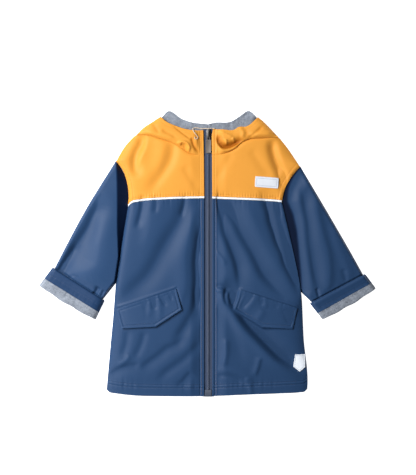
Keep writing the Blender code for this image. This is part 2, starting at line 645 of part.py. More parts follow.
def past_body(side, plan):
    """Distance of a sleeve point from the edge of the front that covers the sleeve's root, or 0 under it."""
    lines = LINES[side]
    edge = joined(smooth(lines["side"][SIDE_AT_SLEEVE:], even(8)), smooth(lines["armhole"], even(8)))
    order = np.argsort(edge[:, 1])
    limit = np.interp(plan[..., 1], edge[order, 1], edge[order, 0])
    return distance_to(edge, plan) * (SIDES[side] * (plan[..., 0] - limit) > 0)


def make_cuffs():
    """The sleeve's end turned up over itself: the navy facing, and the grey lining up to the fold."""
    for side in SIDES:
        hem, join, fold = cuff_frame(side)
        start = join + unit(fold - hem) * SEAM_GAP
        level = (0.0, 0.0, 0.0)
        for name, near, far, cloth, drop, slot in (
            ("cuff_facing", hem, join, CUFF_CLOTH, level, "navy_cloth"),
            ("cuff_lining", start, fold, FOLD_WALL, CUFF_ROUNDING, "grey_jersey"),
        ):
            plan = patch(
                between(near[0], near[1], SLEEVE_COLUMNS), between(far[0], far[1], SLEEVE_COLUMNS),
                between(near[0], far[0], 2), between(near[1], far[1], 2),
            )
            top = CUFF_EDGE + (CUFF_RISE - CUFF_EDGE) * creased(SLEEVE_COLUMNS) - np.array(drop)[:, None]
            tube(f"{name}_{side}", plan, top, np.zeros_like(top), cloth, slot)


# ---------------------------------------------------------------- hood
def make_hood():
    """The folded hood: its hidden layers, the two lining halves on them and the two sides over those."""
    low, high = smooth(NECK, even(NECK_STEPS)), smooth(HOOD_BACK, even(NECK_STEPS))
    plan = patch(low, high, between(low[0], high[0], 3), between(low[-1], high[-1], 3))
    edge = np.minimum(distance_to(high, plan), distance_to(low, plan))
    wall("hood_fold", plan, FOLDED_HOOD - 2.2 * np.exp(-edge / 3.0), FOLDED_HOOD, 0.0, "grey_jersey")
    return [make(side) for side in SIDES for make in (make_hood_lining, make_hood_side)]


def make_hood_lining(side):
    low = smooth(LINES[side]["lining_low"], even(SEAM_STEPS))
    high = smooth(LINES[side]["lining_top"], even(SEAM_STEPS))
    plan = patch(low, high, between(low[0], high[0], 4), between(low[-1], high[-1], 4))
    top = LINING_TOP + np.clip(relief(plan, LINING_FOLDS[side]), 0, LINING_CREASE)
    return wall(f"hood_lining_{side}", plan, top, LINING_CLOTH, FOLDED_HOOD + SEAM_GAP, "grey_jersey")


def make_hood_side(side):
    """An orange side of the hood: a roll between the neck seam and the rim, which lies on the lining."""
    lines = LINES[side]
    seam, rim = smooth(lines["hood_seam"], even(SEAM_STEPS)), smooth(lines["rim"], even(SEAM_STEPS))
    zip_line, fold_line = smooth(lines["hood_zip"], even(6)), smooth(lines["hood_side"], even(6))
    plan = patch(seam, rim, zip_line, fold_line)
    x, y = plan[..., 0], plan[..., 1]
    from_seam, from_rim, from_side = (distance_to(line, plan) for line in (seam, rim, fold_line))
    seam_top = np.minimum(zip_edge(y), BODY_RISE)
    roll = (1 - np.exp(-from_seam / HOOD_ROLL)) * (1 - 0.45 * np.exp(-from_rim / (1.5 * HOOD_ROLL)))
    folds = relief(plan, HOOD_FOLDS[side]) * (1 - np.exp(-np.minimum(from_seam, from_rim) / HOOD_ROLL))
    body = seam_top + (HOOD_RISE - seam_top) * roll + folds
    side_top = LINING_TOP + SEAM_GAP
    body = side_top + (body - side_top) * (1 - np.exp(-(from_side + 0.5) / HOOD_ROLL))
    bed = FOLDED_HOOD + SEAM_GAP
    bed = bed + (RIM_TOP - FRONT_CLOTH - bed) * (1 - step_up(from_rim, 10.0, 18.0))
    away = step_up(np.abs(x), abs(lines["zip_x"]) + 4, abs(lines["zip_x"]) + 22)
    top = zip_edge(y) * (1 - away) + np.maximum(body, bed + FRONT_CLOTH) * away
    on_tape = np.abs(x) < TAPE_HALF + 8
    lowest = np.where(on_tape, np.maximum(bed, zip_edge(y) - FRONT_CLOTH), bed)
    top = np.maximum(top, lowest + 0.8 * FRONT_CLOTH)
    return wall(f"hood_{side}", plan, top, FRONT_CLOTH, lowest, "orange_cloth")


# ---------------------------------------------------------------- zip
def strip(name, x0, x1, y0, y1, lift, height, slot, bevel):
    """A straight strip along the zip that follows the tape's slope, with its upper edges bevelled."""
    xs = np.array([x0, x0 + bevel, x1 - bevel, x1]) if bevel else np.array([x0, x1])
    plan = np.stack(np.meshgrid(xs, np.array([y0, y1])), axis=-1)
    low = tape_under(plan[..., 1]) + lift
    top = low + height
    top[:, [0, -1]] -= bevel
    return wall(name, plan, top, height, low, slot)


def make_zip():
    half_gap = SEAM_GAP / 2
    on_tape = TAPE_CLOTH + SEAM_GAP
    box_top = ZIP_BOTTOM + BOX_LENGTH
    for name, x0, x1, y0, y1, lift, height, slot, bevel in (
        ("zip_tape_right", -TAPE_HALF, -half_gap, ZIP_BOTTOM, ZIP_TOP, 0.0, TAPE_CLOTH, "zip_tape", 0.0),
        ("zip_tape_left", half_gap, TAPE_HALF, ZIP_BOTTOM, ZIP_TOP, 0.0, TAPE_CLOTH, "zip_tape", 0.0),
        ("zip_box", -BOX_HALF, BOX_HALF, ZIP_BOTTOM, box_top, on_tape, BOX_HEIGHT, "zip_box", 0.6),
        ("zip_chain", -CHAIN_HALF, CHAIN_HALF, box_top + SEAM_GAP, ZIP_TOP - 0.6, on_tape, CHAIN_HEIGHT,
         "zip_coil", 0.5),
    ):
        strip(name, x0, x1, y0, y1, lift, height, slot, bevel)
    make_slider()
    make_pull_tab()


def slider_base():
    return tape_under(SLIDER_BACK) + TAPE_CLOTH + 2 * SEAM_GAP + CHAIN_HEIGHT


def hinge_place():
    """The pull tab's axis: the middle of its eye, in the bridge's opening just behind the front post."""
    y = SLIDER_FRONT + FRONT_POST[1] + EYE_CLEAR + EYE_R
    z = slider_base() + SLIDER_PLATE + BRIDGE_OPEN / 2
    return 0.0, y, z


def make_slider():
    """Slider: a waisted plate over the chain, and a bridge of two posts and a bar."""
    base, top = slider_base(), slider_base() + SLIDER_PLATE
    half, back, front = SLIDER_HALF, SLIDER_BACK, SLIDER_FRONT
    middle = (front + back) / 2
    right_half = [(0.72 * half, front), (half, front + 3.0), (0.86 * half, middle), (half, back - 5.0),
                  (0.66 * half, back)]
    outline = right_half + [(-x, y) for x, y in right_half[::-1]]
    body = prism("zip_slider", outline, base, top, 2, "zip_metal")
    bar_low, bar_high = top + BRIDGE_OPEN, top + BRIDGE_OPEN + BRIDGE_BAR
    pieces = []
    for name, y0, y1, z0, z1 in (
        ("front_post", front + FRONT_POST[0], front + FRONT_POST[1], base + 0.5, bar_low + 0.4),
        ("back_post", back - BACK_POST[1], back - BACK_POST[0], base + 0.5, bar_low + 0.4),
        ("bridge", front + FRONT_POST[0], back - BACK_POST[0], bar_low, bar_high),
    ):
        outline = [(-BRIDGE_HALF, y0), (BRIDGE_HALF, y0), (BRIDGE_HALF, y1), (-BRIDGE_HALF, y1)]
        pieces.append(prism(name, outline, z0, z1, 2, "zip_metal"))
    union(body, pieces)


def make_pull_tab():
    """Pull tab: an eye bar through the bridge, two cranked arms and a plate; its origin is on its hinge."""
    place = hinge_place()
    reach = ARM_INNER + ARM_WIDTH
    turns = np.arange(12) * math.pi / 6
    circle = [(EYE_R * math.cos(turn), EYE_R * math.sin(turn)) for turn in turns]
    tab = prism("zip_pull_tab", circle, -reach, reach, 0, "tab_metal", place)
    line = [(0.2, 0.0), (-ARM_STRAIGHT, 0.0), (-TAB_NEAR - 1.5, -TAB_DROP)]
    arm = [(y, z + ARM_HALF_HEIGHT) for y, z in line] + [(y, z - ARM_HALF_HEIGHT) for y, z in line[::-1]]
    pieces = [
        prism("arm_left", arm, ARM_INNER, reach, 0, "tab_metal", place),
        prism("arm_right", arm, -reach, -ARM_INNER, 0, "tab_metal", place),
    ]
    near, far, corner = -TAB_NEAR, -TAB_FAR, TAB_CORNER
    right_half = [(TAB_HALF - corner, far), (TAB_HALF, far + corner), (TAB_HALF, near - corner),
                  (TAB_HALF - 1.3 * corner, near)]
    outline = right_half + [(-x, y) for x, y in right_half[::-1]]
    low = -TAB_DROP - TAB_PLATE / 2
    pieces.append(prism("plate", outline, low, low + TAB_PLATE, 2, "tab_metal", place))
    union(tab, pieces)


# ---------------------------------------------------------------- trims on the fronts
def make_trims(fronts):
    for side in SIDES:
        flap = FLAPS[side]
        top_edge = smooth(flap["top"], even(10))
        low = np.array(flap["low"], float)
        low_edge = joined(between(low[0], low[1], 5), between(low[1], low[2], 5))
        ends = (between(top_edge[k], low_edge[k], 4) for k in (0, -1))
        plan = patch(top_edge, low_edge, *ends)
        ground = Surface(fronts[f"body_{side}"]).cover(plan, COVER_REACH) + LAY_CLEAR
        lift = FLAP_LIFT * even(4)[:, None] ** 2
        wall(f"pocket_flap_{side}", plan, ground + lift + FLAP_CLOTH, FLAP_CLOTH, ground, "navy_cloth")

    corners = np.array(LABEL_CORNERS)
    plan = patch(
        between(corners[0], corners[1], 5), between(corners[3], corners[2], 5),
        between(corners[0], corners[3], 3), between(corners[1], corners[2], 3),
    )
    lay_on(fronts["yoke_left"], "chest_label", plan, "label_silver")
    top_edge, low = smooth(PATCH_TOP, even(4)), np.array(PATCH_LOW)
    low_edge = joined(between(low[0], low[1], 2), between(low[1], low[2], 2))
    ends = (between(top_edge[k], low_edge[k], 3) for k in (0, -1))
    plan = patch(top_edge, low_edge, *ends)
    lay_on(fronts["body_left"], "hem_patch", plan, "patch_grey")


def lay_on(carrier, name, plan, slot):
    """A small flat piece on a front, just clear of it."""
    ground = Surface(carrier).cover(plan, COVER_REACH) + LAY_CLEAR
    wall(name, plan, ground + LABEL_CLOTH, LABEL_CLOTH, ground, slot)


def make_neck_cord(carriers):
    """A thin cord: a curve through its route's points, lying on the lining and the hood."""
    line = smooth(CORD_ROUTE, even(CORD_STEPS))
    surface = Surface(*carriers)
    ground = surface.cover(line, COVER_REACH, otherwise=FOLDED_HOOD)
    height = ground + CORD_R + SEAM_GAP
    height = np.convolve(np.pad(height, 1, mode="edge"), [0.25, 0.5, 0.25], mode="valid")
    height = np.maximum(height, ground + CORD_R + SEAM_GAP)
    curve = bpy.data.curves.new("neck_cord", "CURVE")
    curve.dimensions = "3D"
    curve.bevel_depth = CORD_R * MM
    curve.bevel_resolution = 1
    curve.use_fill_caps = True
    spline = curve.splines.new("POLY")
    spline.points.add(len(line) - 1)
    for point, (x, y), z in zip(spline.points, line, height):
        point.co = (x * MM, y * MM, z * MM, 1.0)
    add_object("neck_cord", curve, "cord_beige")


# ---------------------------------------------------------------- scene
def make_materials():
    for name, (colour, roughness, metallic) in MATERIALS.items():
        material = bpy.data.materials.new(name)
        material.use_nodes = True
        shader = material.node_tree.nodes["Principled BSDF"]
        shader.inputs["Base Color"].default_value = (*colour, 1.0)
        shader.inputs["Roughness"].default_value = roughness
        shader.inputs["Metallic"].default_value = metallic


def main():
    for obj in list(bpy.data.objects):
        bpy.data.objects.remove(obj)
    bpy.context.scene.collection.objects.link(bpy.data.objects.new(COAT, None))
    make_materials()
    make_back()
    fronts = make_fronts()
    make_sleeves()
    make_cuffs()
    hood = make_hood()
    make_zip()
    make_trims(fronts)
    make_neck_cord(hood)


main()
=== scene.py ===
"""Child's hooded raincoat, zipped up and lying flat on its back.

Every cloth piece is a sheet over a grid of plan points between four edge lines. Its height is worked out
for the whole grid at once: a base form, soft folds along short paths, and the grooves and puckers of its
seams. Lengths in the tables are in millimetres, +X is the wearer's left, +Y points to the hood, +Z is up.
"""

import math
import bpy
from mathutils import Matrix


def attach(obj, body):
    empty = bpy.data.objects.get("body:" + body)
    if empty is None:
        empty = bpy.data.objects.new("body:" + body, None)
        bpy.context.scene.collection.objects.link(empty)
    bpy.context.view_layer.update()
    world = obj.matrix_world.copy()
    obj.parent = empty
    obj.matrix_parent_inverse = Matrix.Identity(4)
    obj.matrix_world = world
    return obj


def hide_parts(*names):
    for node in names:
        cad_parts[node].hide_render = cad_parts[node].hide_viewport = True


bl_info = {
    "name": "Child's Raincoat",
    "version": (1, 0, 0),
    "blender": (4, 5, 0),
    "location": "View3D > Sidebar > Raincoat",
    "description": "Builds a child's hooded raincoat lying flat, piece by piece",
    "category": "Add Mesh",
}

import bmesh
import bpy
import numpy as np
from bpy.props import FloatProperty, FloatVectorProperty, PointerProperty
from mathutils import Vector

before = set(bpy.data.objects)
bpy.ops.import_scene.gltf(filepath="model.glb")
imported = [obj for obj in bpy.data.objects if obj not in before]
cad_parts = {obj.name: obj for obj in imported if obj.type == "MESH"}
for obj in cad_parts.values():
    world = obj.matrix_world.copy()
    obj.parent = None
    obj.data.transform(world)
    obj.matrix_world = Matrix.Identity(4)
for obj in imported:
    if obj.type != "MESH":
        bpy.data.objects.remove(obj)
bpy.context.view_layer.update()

MM = 0.001
COAT, PULL_TAB = "coat", "pull_tab"

# ---------------------------------------------------------------- cloth and layers
SEAM_GAP = 0.3
FRONT_CLOTH = 1.6
SLEEVE_CLOTH = 1.2
BACK_CLOTH = 1.4
LINING_CLOTH = 1.4
FLAP_CLOTH = 1.6
TAPE_CLOTH = 1.0
LABEL_CLOTH = 0.9
LAY_CLEAR = 0.4
TUBE_EDGE = 3.0
LOW_EDGE = 3.4
HIGH_EDGE = {"right": 5.2, "left": 8.0}  # upper face of a front's edge over its sleeve
SIDE_ROLL = {"right": 13.0, "left": 11.0}  # how slowly a front rises from its outer edge
ROLL_ON_SLEEVE = {"right": 5.0, "left": 3.0}  # the same where the edge lies on a sleeve
FOLD_ROLL = 4.5  # the same for its folds
ROOT_WIDTH = (17.0, 34.0)  # of the sleeve's root under a front
LOW_FLOOR = 5.0  # lowest upper face of a front where no sleeve is under it
BODY_RISE = 11.0
CLIMB = (-42.0, -6.0)  # stretch in which a front's edge climbs on its sleeve, from where that leaves it
DESCENT = 24.0  # stretch above the armhole in which it comes down again
NECK_SINK = 2.0  # stretch over which a yoke sinks to its edge under the hood
YOKE_AT_NECK = 8.0  # upper face of a yoke along the neck seam, where the hood rolls over it
HEM_BAND = (-270.0, -190.0)
HEM_THIN = 0.25
FOLDED_HOOD = 4.2
LINING_TOP = FOLDED_HOOD + SEAM_GAP + LINING_CLOTH
LINING_LIFT = 2.4  # how far the lining climbs from under the rim to the hood's back edge
HOOD_RISE = 15.5
HOOD_ROLL = 3.2  # how slowly a hood side rises from its seam
ROLL_AT_ZIP = 3.0  # how much more slowly at the zip
RIM_STITCH = 6.0
RIM_OVER_LINING = 1.6
SLEEVE_RISE = {"right": 13.0, "left": 11.0}
SLEEVE_LONG, SLEEVE_WIDE = 250.0, 128.0
SLEEVE_CREASE = 0.04  # share of its width that rounds off to each crease
PINCH = (-34.0, -2.0)  # stretch before its turn-up in which a sleeve sinks into it
CREVICE = 3.8  # depth of the crevice along a turn-up's edge
ON_TURN_UP = (0.70, 0.86)  # shares of its length between which a sleeve's underside lifts on the turn-up
PAINTED_SHADE_DEPTH = {"right": 0.46, "left": 0.50}  # painted shade: how much darker a sleeve is painted where it is tucked beside the body

# ---------------------------------------------------------------- zip
TAPE_LOW, TAPE_HIGH = 2.4, 6.3
ZIP_BOTTOM, ZIP_TOP = -272.4, 238.4
TAPE_GAP = 0.15  # from the zip's middle to each tape
TAPE_HALF = 10.5
PLACKET = 28.0
PLACKET_LEVEL = 5.0  # stretch beside the zip that has no folds and doesn't rise
PLACKET_FOLDS = 11.0  # distance from the zip at which folds have their full height
PLACKET_WELT = 10.2  # width of the fold of cloth beside the zip
CHAIN_BASE = 0.5  # height of the coil's bed over the tape
BOX_LENGTH = 13.0

# ---------------------------------------------------------------- turn-ups and piping
CUFF_CLOTH = 1.3
CUFF_WIDE, CUFF_FACING, CUFF_LINING = 115.0, 25.0, 17.0
CUFF_RISE, CUFF_EDGE = 13.2, 6.4
SLEEVE_IN_CUFF = 13.0
CUFF_CLEAR = 2.9
CUFF_STITCH = 14.7
FACING_SHADE = {"right": 0.07, "left": 0.0}
CUFF_SLOPE = {"right": 0.14, "left": 0.05}  # share of a turn-up's width that slopes to its inner end
FOLD_WALL = 1.9
PIPING_HALF = 2.0
PIPING_BEAD = 1.9

# ---------------------------------------------------------------- seams: how far stitches lie from their edge
STITCH_IN = {"right": 5.4, "left": 7.2}  # beside the zip
PLACKET_GROOVE = {"right": 8.4, "left": 5.0}
HEM_STITCH = (15.5, 21.5)
YOKE_STITCH = 5.8
ARM_STITCH = 8.5
FLAP_STITCH = 5.2
NOTCH_PITCH = 5.2  # of the even gathers along the yoke's stitches
ROPE_PITCH = 5.6  # of the slanting gathers in the edge beside the zip

# ---------------------------------------------------------------- edge lines, x and y
LINES = {
    "right": {
        "zip_x": -7.5,
        "hood_zip": [(-8.3, 187.0), (-9.4, 234.1)],
        "hem": [(-7.5, -271.5), (-82.3, -271.1), (-143.1, -269.6), (-176.0, -265.8), (-188.4, -263.6),
                (-193.6, -259.3)],
        "side": [(-193.6, -259.3), (-192.5, -246.0), (-181.6, -126.3), (-175.4, -54.1), (-164.0, 19.9),
                 (-152.6, 91.2)],
        "piping": [(-7.5, 106.8), (-80.4, 104.7), (-131.7, 100.5), (-145.5, 97.5), (-152.6, 91.2)],
        "armhole": [(-152.6, 91.2), (-151.6, 105.4), (-153.7, 130.2), (-163.0, 158.7), (-175.4, 175.8)],
        "shoulder": [(-136.2, 226.1), (-150.7, 213.8), (-160.2, 202.3), (-175.4, 175.8)],
        "underarm": (-141.2, 25.6),
        "hood_seam": [(-8.3, 187.0), (-25.3, 187.6), (-35.7, 190.5), (-51.9, 201.4), (-69.0, 209.9),
                      (-91.8, 217.5), (-113.6, 224.2), (-136.2, 226.1)],
        "rim": [(-9.4, 234.1), (-25.3, 233.9), (-38.6, 235.4), (-61.4, 242.2), (-80.4, 251.0),
                (-90.8, 260.1)],
        "hood_side": [(-136.2, 226.1), (-124.1, 238.4), (-107.0, 249.8), (-90.8, 260.1)],
        "lining_top": [(-0.8, 246.0), (-15.8, 247.4), (-28.1, 248.9), (-50.0, 256.1), (-76.6, 270.8),
                       (-88.5, 259.0)],
        "lining_low": [(-0.8, 228.0), (-15.0, 227.6), (-38.0, 228.6), (-62.0, 236.0), (-80.0, 245.5),
                       (-88.0, 256.5)],
        "sleeve_out": [(-175.4, 175.8), (-235.6, 77.8), (-264.2, 24.8)],
        "cuff": [(-294.1, -27.5), (-199.1, -88.3)],
        "cuff_fold": [(-320.1, -61.8), (-216.6, -124.8)],
    },
    "left": {
        "zip_x": 7.5,
        "hood_zip": [(7.0, 188.0), (6.2, 206.0), (6.2, 222.0), (8.6, 236.0)],
        "hem": [(7.5, -271.3), (76.4, -268.0), (136.2, -265.8), (174.0, -263.8), (183.4, -262.4),
                (188.3, -257.5)],
        "side": [(188.3, -257.5), (188.8, -249.8), (181.8, -164.3), (176.1, -71.2), (159.0, 16.1),
                 (140.0, 98.8)],
        "piping": [(7.5, 106.2), (69.0, 103.7), (110.0, 101.7), (132.0, 100.0), (140.0, 98.8)],
        "armhole": [(140.0, 98.8), (141.9, 108.3), (147.1, 126.3), (157.1, 143.4), (174.2, 165.3)],
        "shoulder": [(133.6, 220.8), (143.8, 209.9), (153.9, 196.6), (174.2, 165.3)],
        "underarm": (141.9, 12.3),
        "hood_seam": [(7.0, 188.0), (22.2, 188.6), (37.4, 192.3), (52.6, 200.4), (64.0, 210.6),
                      (78.0, 216.8), (106.0, 219.2), (133.6, 220.8)],
        "rim": [(8.4, 236.0), (26.0, 235.6), (49.6, 235.2), (57.9, 240.3), (70.7, 240.8), (94.4, 259.0)],
        "hood_side": [(133.6, 220.8), (117.2, 238.4), (105.8, 249.8), (94.4, 259.0)],
        "lining_top": [(-0.5, 246.0), (10.8, 248.7), (43.1, 251.0), (60.0, 261.0), (76.4, 270.8),
                       (92.0, 258.4)],
        "lining_low": [(-0.5, 228.0), (15.0, 227.6), (40.0, 228.6), (62.0, 233.5), (78.0, 242.5),
                       (91.0, 255.5)],
        "sleeve_out": [(174.2, 165.3), (233.1, 65.5), (262.0, 15.5)],
        "cuff": [(296.2, -39.9), (195.1, -94.0)],
        "cuff_fold": [(316.7, -67.5), (219.1, -124.4)],
    },
}
SIDES = {"right": -1, "left": 1}
SIDE_AT_SLEEVE = 3
OUTER_RUNS = (("side", 1), ("armhole", 1), ("shoulder", -1))
NECK = [(-128.0, 227.0), (-108.0, 221.0), (-84.0, 206.0), (-40.0, 191.0), (0.0, 187.5), (40.0, 190.5),
        (84.0, 203.0), (106.0, 216.0), (125.0, 221.5)]
HOOD_BACK = [(-128.0, 231.0), (-118.0, 240.0), (-107.0, 248.0), (-90.0, 258.0), (-76.6, 268.8),
             (-50.0, 254.4), (0.0, 244.4), (43.0, 249.3), (76.4, 268.8), (92.5, 256.5), (115.0, 236.6),
             (125.0, 225.5)]
BACK_SEAM_Y = 96.0

# ---------------------------------------------------------------- folds
# Each fold is a path of points, how far it reaches to the left and to the right of its path, and its
# height, negative in a trough. A fold is a soft bell; a fifth number below 2 gives it a sharper crest.
FRONT_FOLDS = {
    "right": [
        ([(-107, 222), (-104, 204), (-108, 181), (-116, 155)], 14, 14, -1.2),
        ([(-116, 220), (-120, 200), (-131, 176), (-140, 148)], 6, 9, 1.6),
        ([(-124, 222), (-128, 206), (-135, 193), (-138.5, 181), (-139, 166), (-136, 146)], 10, 9, -5.4),
        ([(-67, 216), (-68, 196), (-73, 176), (-86, 155), (-99, 137), (-113, 116)], 10, 12, -3.6),
        ([(-88, 200), (-96, 160), (-110, 120)], 12, 40, 1.2),
        ([(-46, 164), (-33, 142), (-22, 122)], 9, 7, -1.1),
        ([(-124, 110), (-125, 92), (-129, 72), (-136, 48)], 8, 5.5, -2.8),
        ([(-100, 110), (-99, 92), (-102, 76)], 5, 6, -1.6),
        ([(-44, 110), (-46, 92), (-52, 70)], 4.5, 5, -2.2),
        ([(-40, 108), (-46, 80), (-54, 59), (-64, 43), (-77, 23), (-92, -4), (-107, -31), (-118, -46),
          (-134, -61), (-150, -77), (-166, -94)], 22, 14, -4.7),
        ([(-104, 112), (-108, 60), (-120, 8)], 26, 13, 1.8),
        ([(-26, 84), (-38, 40), (-46, -4), (-46, -60), (-60, -112)], 10, 18, 2.2),
        ([(-13, 48), (-18, 14), (-22, -14), (-20.5, -49), (-21.5, -69), (-23, -89), (-27, -106)],
         5, 8, -4.8),
        ([(-17, -68), (-20, -90), (-26, -108), (-36, -127), (-49, -148), (-62, -167)], 15, 9, -3.8),
        ([(-48, -164), (-62, -174), (-78, -181), (-92, -193), (-114, -209), (-132, -224)], 12, 7, -2.4),
        ([(-18, -172), (-46, -201), (-63, -214), (-82, -228), (-94, -242)], 10, 8, -2.2),
        ([(-133, -212), (-160, -217), (-192, -233)], 12, 6, -2.2),
        ([(-149, -195), (-161, -207), (-173, -212)], 5, 5, 1.3),
        ([(-153, -148), (-155, -168), (-164, -196)], 7, 7, -1.5),
        ([(-121, -150), (-126, -170), (-140, -200)], 7, 7, -1.6),
        ([(-33, -226), (-44, -239), (-57, -252)], 12, 5, -1.8),
    ],
    "left": [
        ([(122, 213), (122, 202), (125, 187), (130, 172), (138, 154), (143.5, 140), (145, 118)],
         8, 9.5, -6.2),
        ([(82, 196), (97, 172), (117, 146)], 9, 9, -1.2),
        ([(44, 190), (30, 166), (20, 142)], 8, 8, -1.0),
        ([(19, 106), (24, 84), (28.5, 62), (32.5, 40), (40.5, 20), (48.5, 0), (55, -20), (58.5, -40),
          (61, -66)], 18, 7, -5.3),
        ([(16, 108), (31, 96), (42, 83), (53, 63), (62, 43), (73, 23), (85, 3), (95, -17), (105, -37),
          (122, -57), (146, -82)], 22, 9.5, -6.0),
        ([(102, 110), (111, 97), (117, 82), (121, 62), (128, 42), (135, 22), (145, 2), (151, -18),
          (161, -38), (169, -58), (175, -78)], 20, 9, -6.6),
        ([(124, 108), (130, 92), (134, 70)], 5, 5, -2.2),
        ([(70, 92), (92, 40), (112, 0), (138, -40), (163, -78)], 14, 22, 1.8),
        ([(24, -64), (28, -82), (34, -96), (45, -113), (63, -139), (78, -157), (93, -172), (108, -188),
          (123, -202), (143, -217), (167, -234)], 9, 12, 4.2),
        ([(35, -60), (40, -76), (49, -92), (59, -105), (75, -129), (90, -146), (104.5, -161), (120, -177),
          (134, -191), (155, -206), (180, -224)], 20, 11, -9.4),
        ([(27, -92), (38, -130), (52, -170), (66, -207)], 12, 16, -2.0),
        ([(33, -164), (33.5, -186), (27, -218)], 6, 5, 1.8),
        ([(98, -198), (94, -214), (88, -232)], 4, 7, 1.8),
        ([(20, -220), (44, -223.5), (66, -231), (92, -245)], 5, 5, 1.4),
        ([(20, -231), (46, -236), (64, -246)], 4, 4, -1.3),
        ([(41, -68), (38, -80), (40, -94)], 3.5, 3.5, 2.0),
        ([(33, -68), (31, -84), (36, -99)], 3, 3, -2.4),
        ([(10, -61), (30, -64), (44, -75)], 3.5, 3.5, -1.8),
        ([(12, -70), (30, -72), (39, -81)], 3.5, 3.5, 1.4),
        ([(14, 4), (24, -8), (33, -22)], 4, 4, 1.4),
        ([(73, -236), (77, -250), (82, -268)], 5.5, 4.5, 1.4),
    ],
}
SLEEVE_DROP = [(-174.5, 174), (-174, 150), (-173, 100), (-173, 50), (-171.5, 10), (-170.5, -16)]
LEE = (  # of the left sleeve: y, and how wide its strip of painted shade and its low strip are there
    (-75, 1, 2), (-40, 6, 7), (0, 10, 11), (45, 15, 16), (75, 15, 18), (95, 11, 16), (130, 5, 15),
    (150, 2, 11), (165, 1, 5),
)
SLEEVE_FOLDS = {
    "right": [
        ([(-206, 104), (-209, 88), (-217, 72), (-227, 50), (-239, 31), (-251, 13), (-263, -6),
          (-272.5, -20), (-281, -34), (-296, -58)], 22, 9, -6.0),
        ([(-250, 16), (-266, -10), (-279, -31), (-292, -52)], 10, 6, -3.0),
        ([(-198, 122), (-200, 62), (-203, 22), (-205, -8), (-210, -25), (-224, -35), (-244, -38.5),
          (-266, -40)], 32, 20, 4.6),
        ([(-246, -46), (-258, -43), (-268, -50)], 3, 3, -1.2),
        ([(-208, -64), (-215, -75), (-224, -82)], 4.5, 4.5, -4.2),
        ([(-198, -70), (-204, -84)], 3, 3, -2.4),
    ],
    "left": [
        ([(179, 122), (183.5, 98), (186, 80), (190, 60), (191.5, 40), (193, 20), (196, 0), (199, -20),
          (203, -40), (209, -60), (216, -84)], 14, 7, -2.8),
        ([(202, 116), (208, 68), (217.5, 30), (226, 0), (228.5, -22), (229, -44), (226, -68), (221, -90)],
         8.5, 16, 2.6),
        ([(236, 54), (250, 10), (262, -20), (274, -52)], 9, 9, 1.2),
        ([(256, -30), (262, -54)], 5, 5, -1.2),
        ([(206, -66), (210, -84)], 3, 3, -2.2),
    ],
}
HOOD_FOLDS = {
    "right": [
        ([(-116, 230), (-82, 222), (-62, 217)], 6, 6, 2.2),
        ([(-58, 208), (-50, 211.5), (-42, 210), (-36.5, 203), (-37, 196), (-42, 190.5), (-49, 190)],
         2.6, 2.8, 3.0),
        ([(-52, 207), (-43, 203)], 3.4, 3.4, -2.4),
        ([(-49, 200), (-45, 194)], 5, 5, -1.5),
        ([(-31.5, 219), (-27, 204), (-19, 192)], 3, 3, -3.2, 1.6),
        ([(-22, 217), (-15, 195)], 3.5, 3.5, 1.8),
        ([(-67, 243), (-50, 229), (-32, 216)], 1.8, 2.2, -1.6, 1.4),
        ([(-107, 250), (-93, 226)], 4, 4, -1.0),
        ([(-87, 234), (-60, 219)], 3.5, 3.5, -1.2),
    ],
    "left": [
        ([(17, 222), (19.5, 210), (27, 202.5), (38, 202.5), (50, 207.5), (66, 217)], 7, 3.2, -7.4),
        ([(22, 219), (22.5, 209)], 2.2, 2.2, 2.0),
        ([(33, 217), (35, 206)], 2.6, 2.6, 2.2),
        ([(46, 219), (50, 211)], 2.8, 2.8, 1.6),
        ([(15, 212), (24, 196), (41, 194), (62, 207)], 3, 3, 1.8),
        ([(14, 232), (32, 227), (48, 220)], 3.4, 2.2, 2.2, 1.5),
        ([(64, 240), (72, 231), (69, 216)], 4, 4, -0.9),
        ([(60, 242), (66, 230), (63, 216)], 4, 4, 1.1),
        ([(76, 218), (89, 228), (104, 242)], 3, 3, -1.6),
        ([(80, 225), (100, 226), (122, 228)], 5, 5, 2.2),
    ],
}
LINING_FOLDS = {
    "right": [
        ([(-70, 276), (-64, 258), (-54, 238)], 9, 16, -5.0, 1.4),
        ([(-26, 251), (-28, 234)], 3, 4, -1.4, 1.5),
        ([(-50, 262), (-40, 240)], 8, 4, -1.0, 1.5),
    ],
    "left": [
        ([(96, 268), (86, 262), (76, 244)], 9, 30, 6.0),
        ([(80, 276), (66, 256), (50, 236)], 5, 5, -1.6, 1.4),
        ([(8, 250), (5, 236)], 3, 3, -1.2, 1.5),
        ([(42, 256), (40, 236)], 4, 3, -1.2, 1.5),
    ],
}
FLAP_FOLDS = {
    "right": [
        ([(-104, -74), (-104, -88), (-101, -106)], 4.5, 6, -2.0),
        ([(-112, -84), (-111, -100), (-120, -124)], 7, 8, 1.0),
        ([(-95, -70), (-92, -100), (-92, -126)], 6, 6, 0.9),
        ([(-96, -72), (-88, -87), (-80, -100)], 4.4, 3.4, -1.3),
        ([(-79, -64), (-73, -78), (-69, -89)], 2.8, 2.3, -1.1),
        ([(-68, -62), (-64, -80)], 2.2, 2.2, -1.5),
        ([(-117, -84), (-118, -126)], 6, 6, -0.9),
    ],
    "left": [
        ([(80, -70), (77, -82), (70, -95), (61, -104)], 7, 5, -1.4),
        ([(95, -74), (88, -86), (78, -98), (68, -108)], 7, 6, 0.9),
        ([(101, -80), (101, -88), (103, -98)], 6, 4, -0.9),
        ([(108, -82), (107, -94), (110, -104)], 5, 5, 0.8),
        ([(104, -108), (98, -118), (90, -128)], 7, 7, 1.0),
        ([(66, -62), (62, -84)], 2.4, 2.4, -1.5),
        ([(130, -84), (128, -104)], 3, 3, -1.2),
        ([(148, -106), (152, -118), (158, -132)], 8, 7, -1.8),
    ],
}
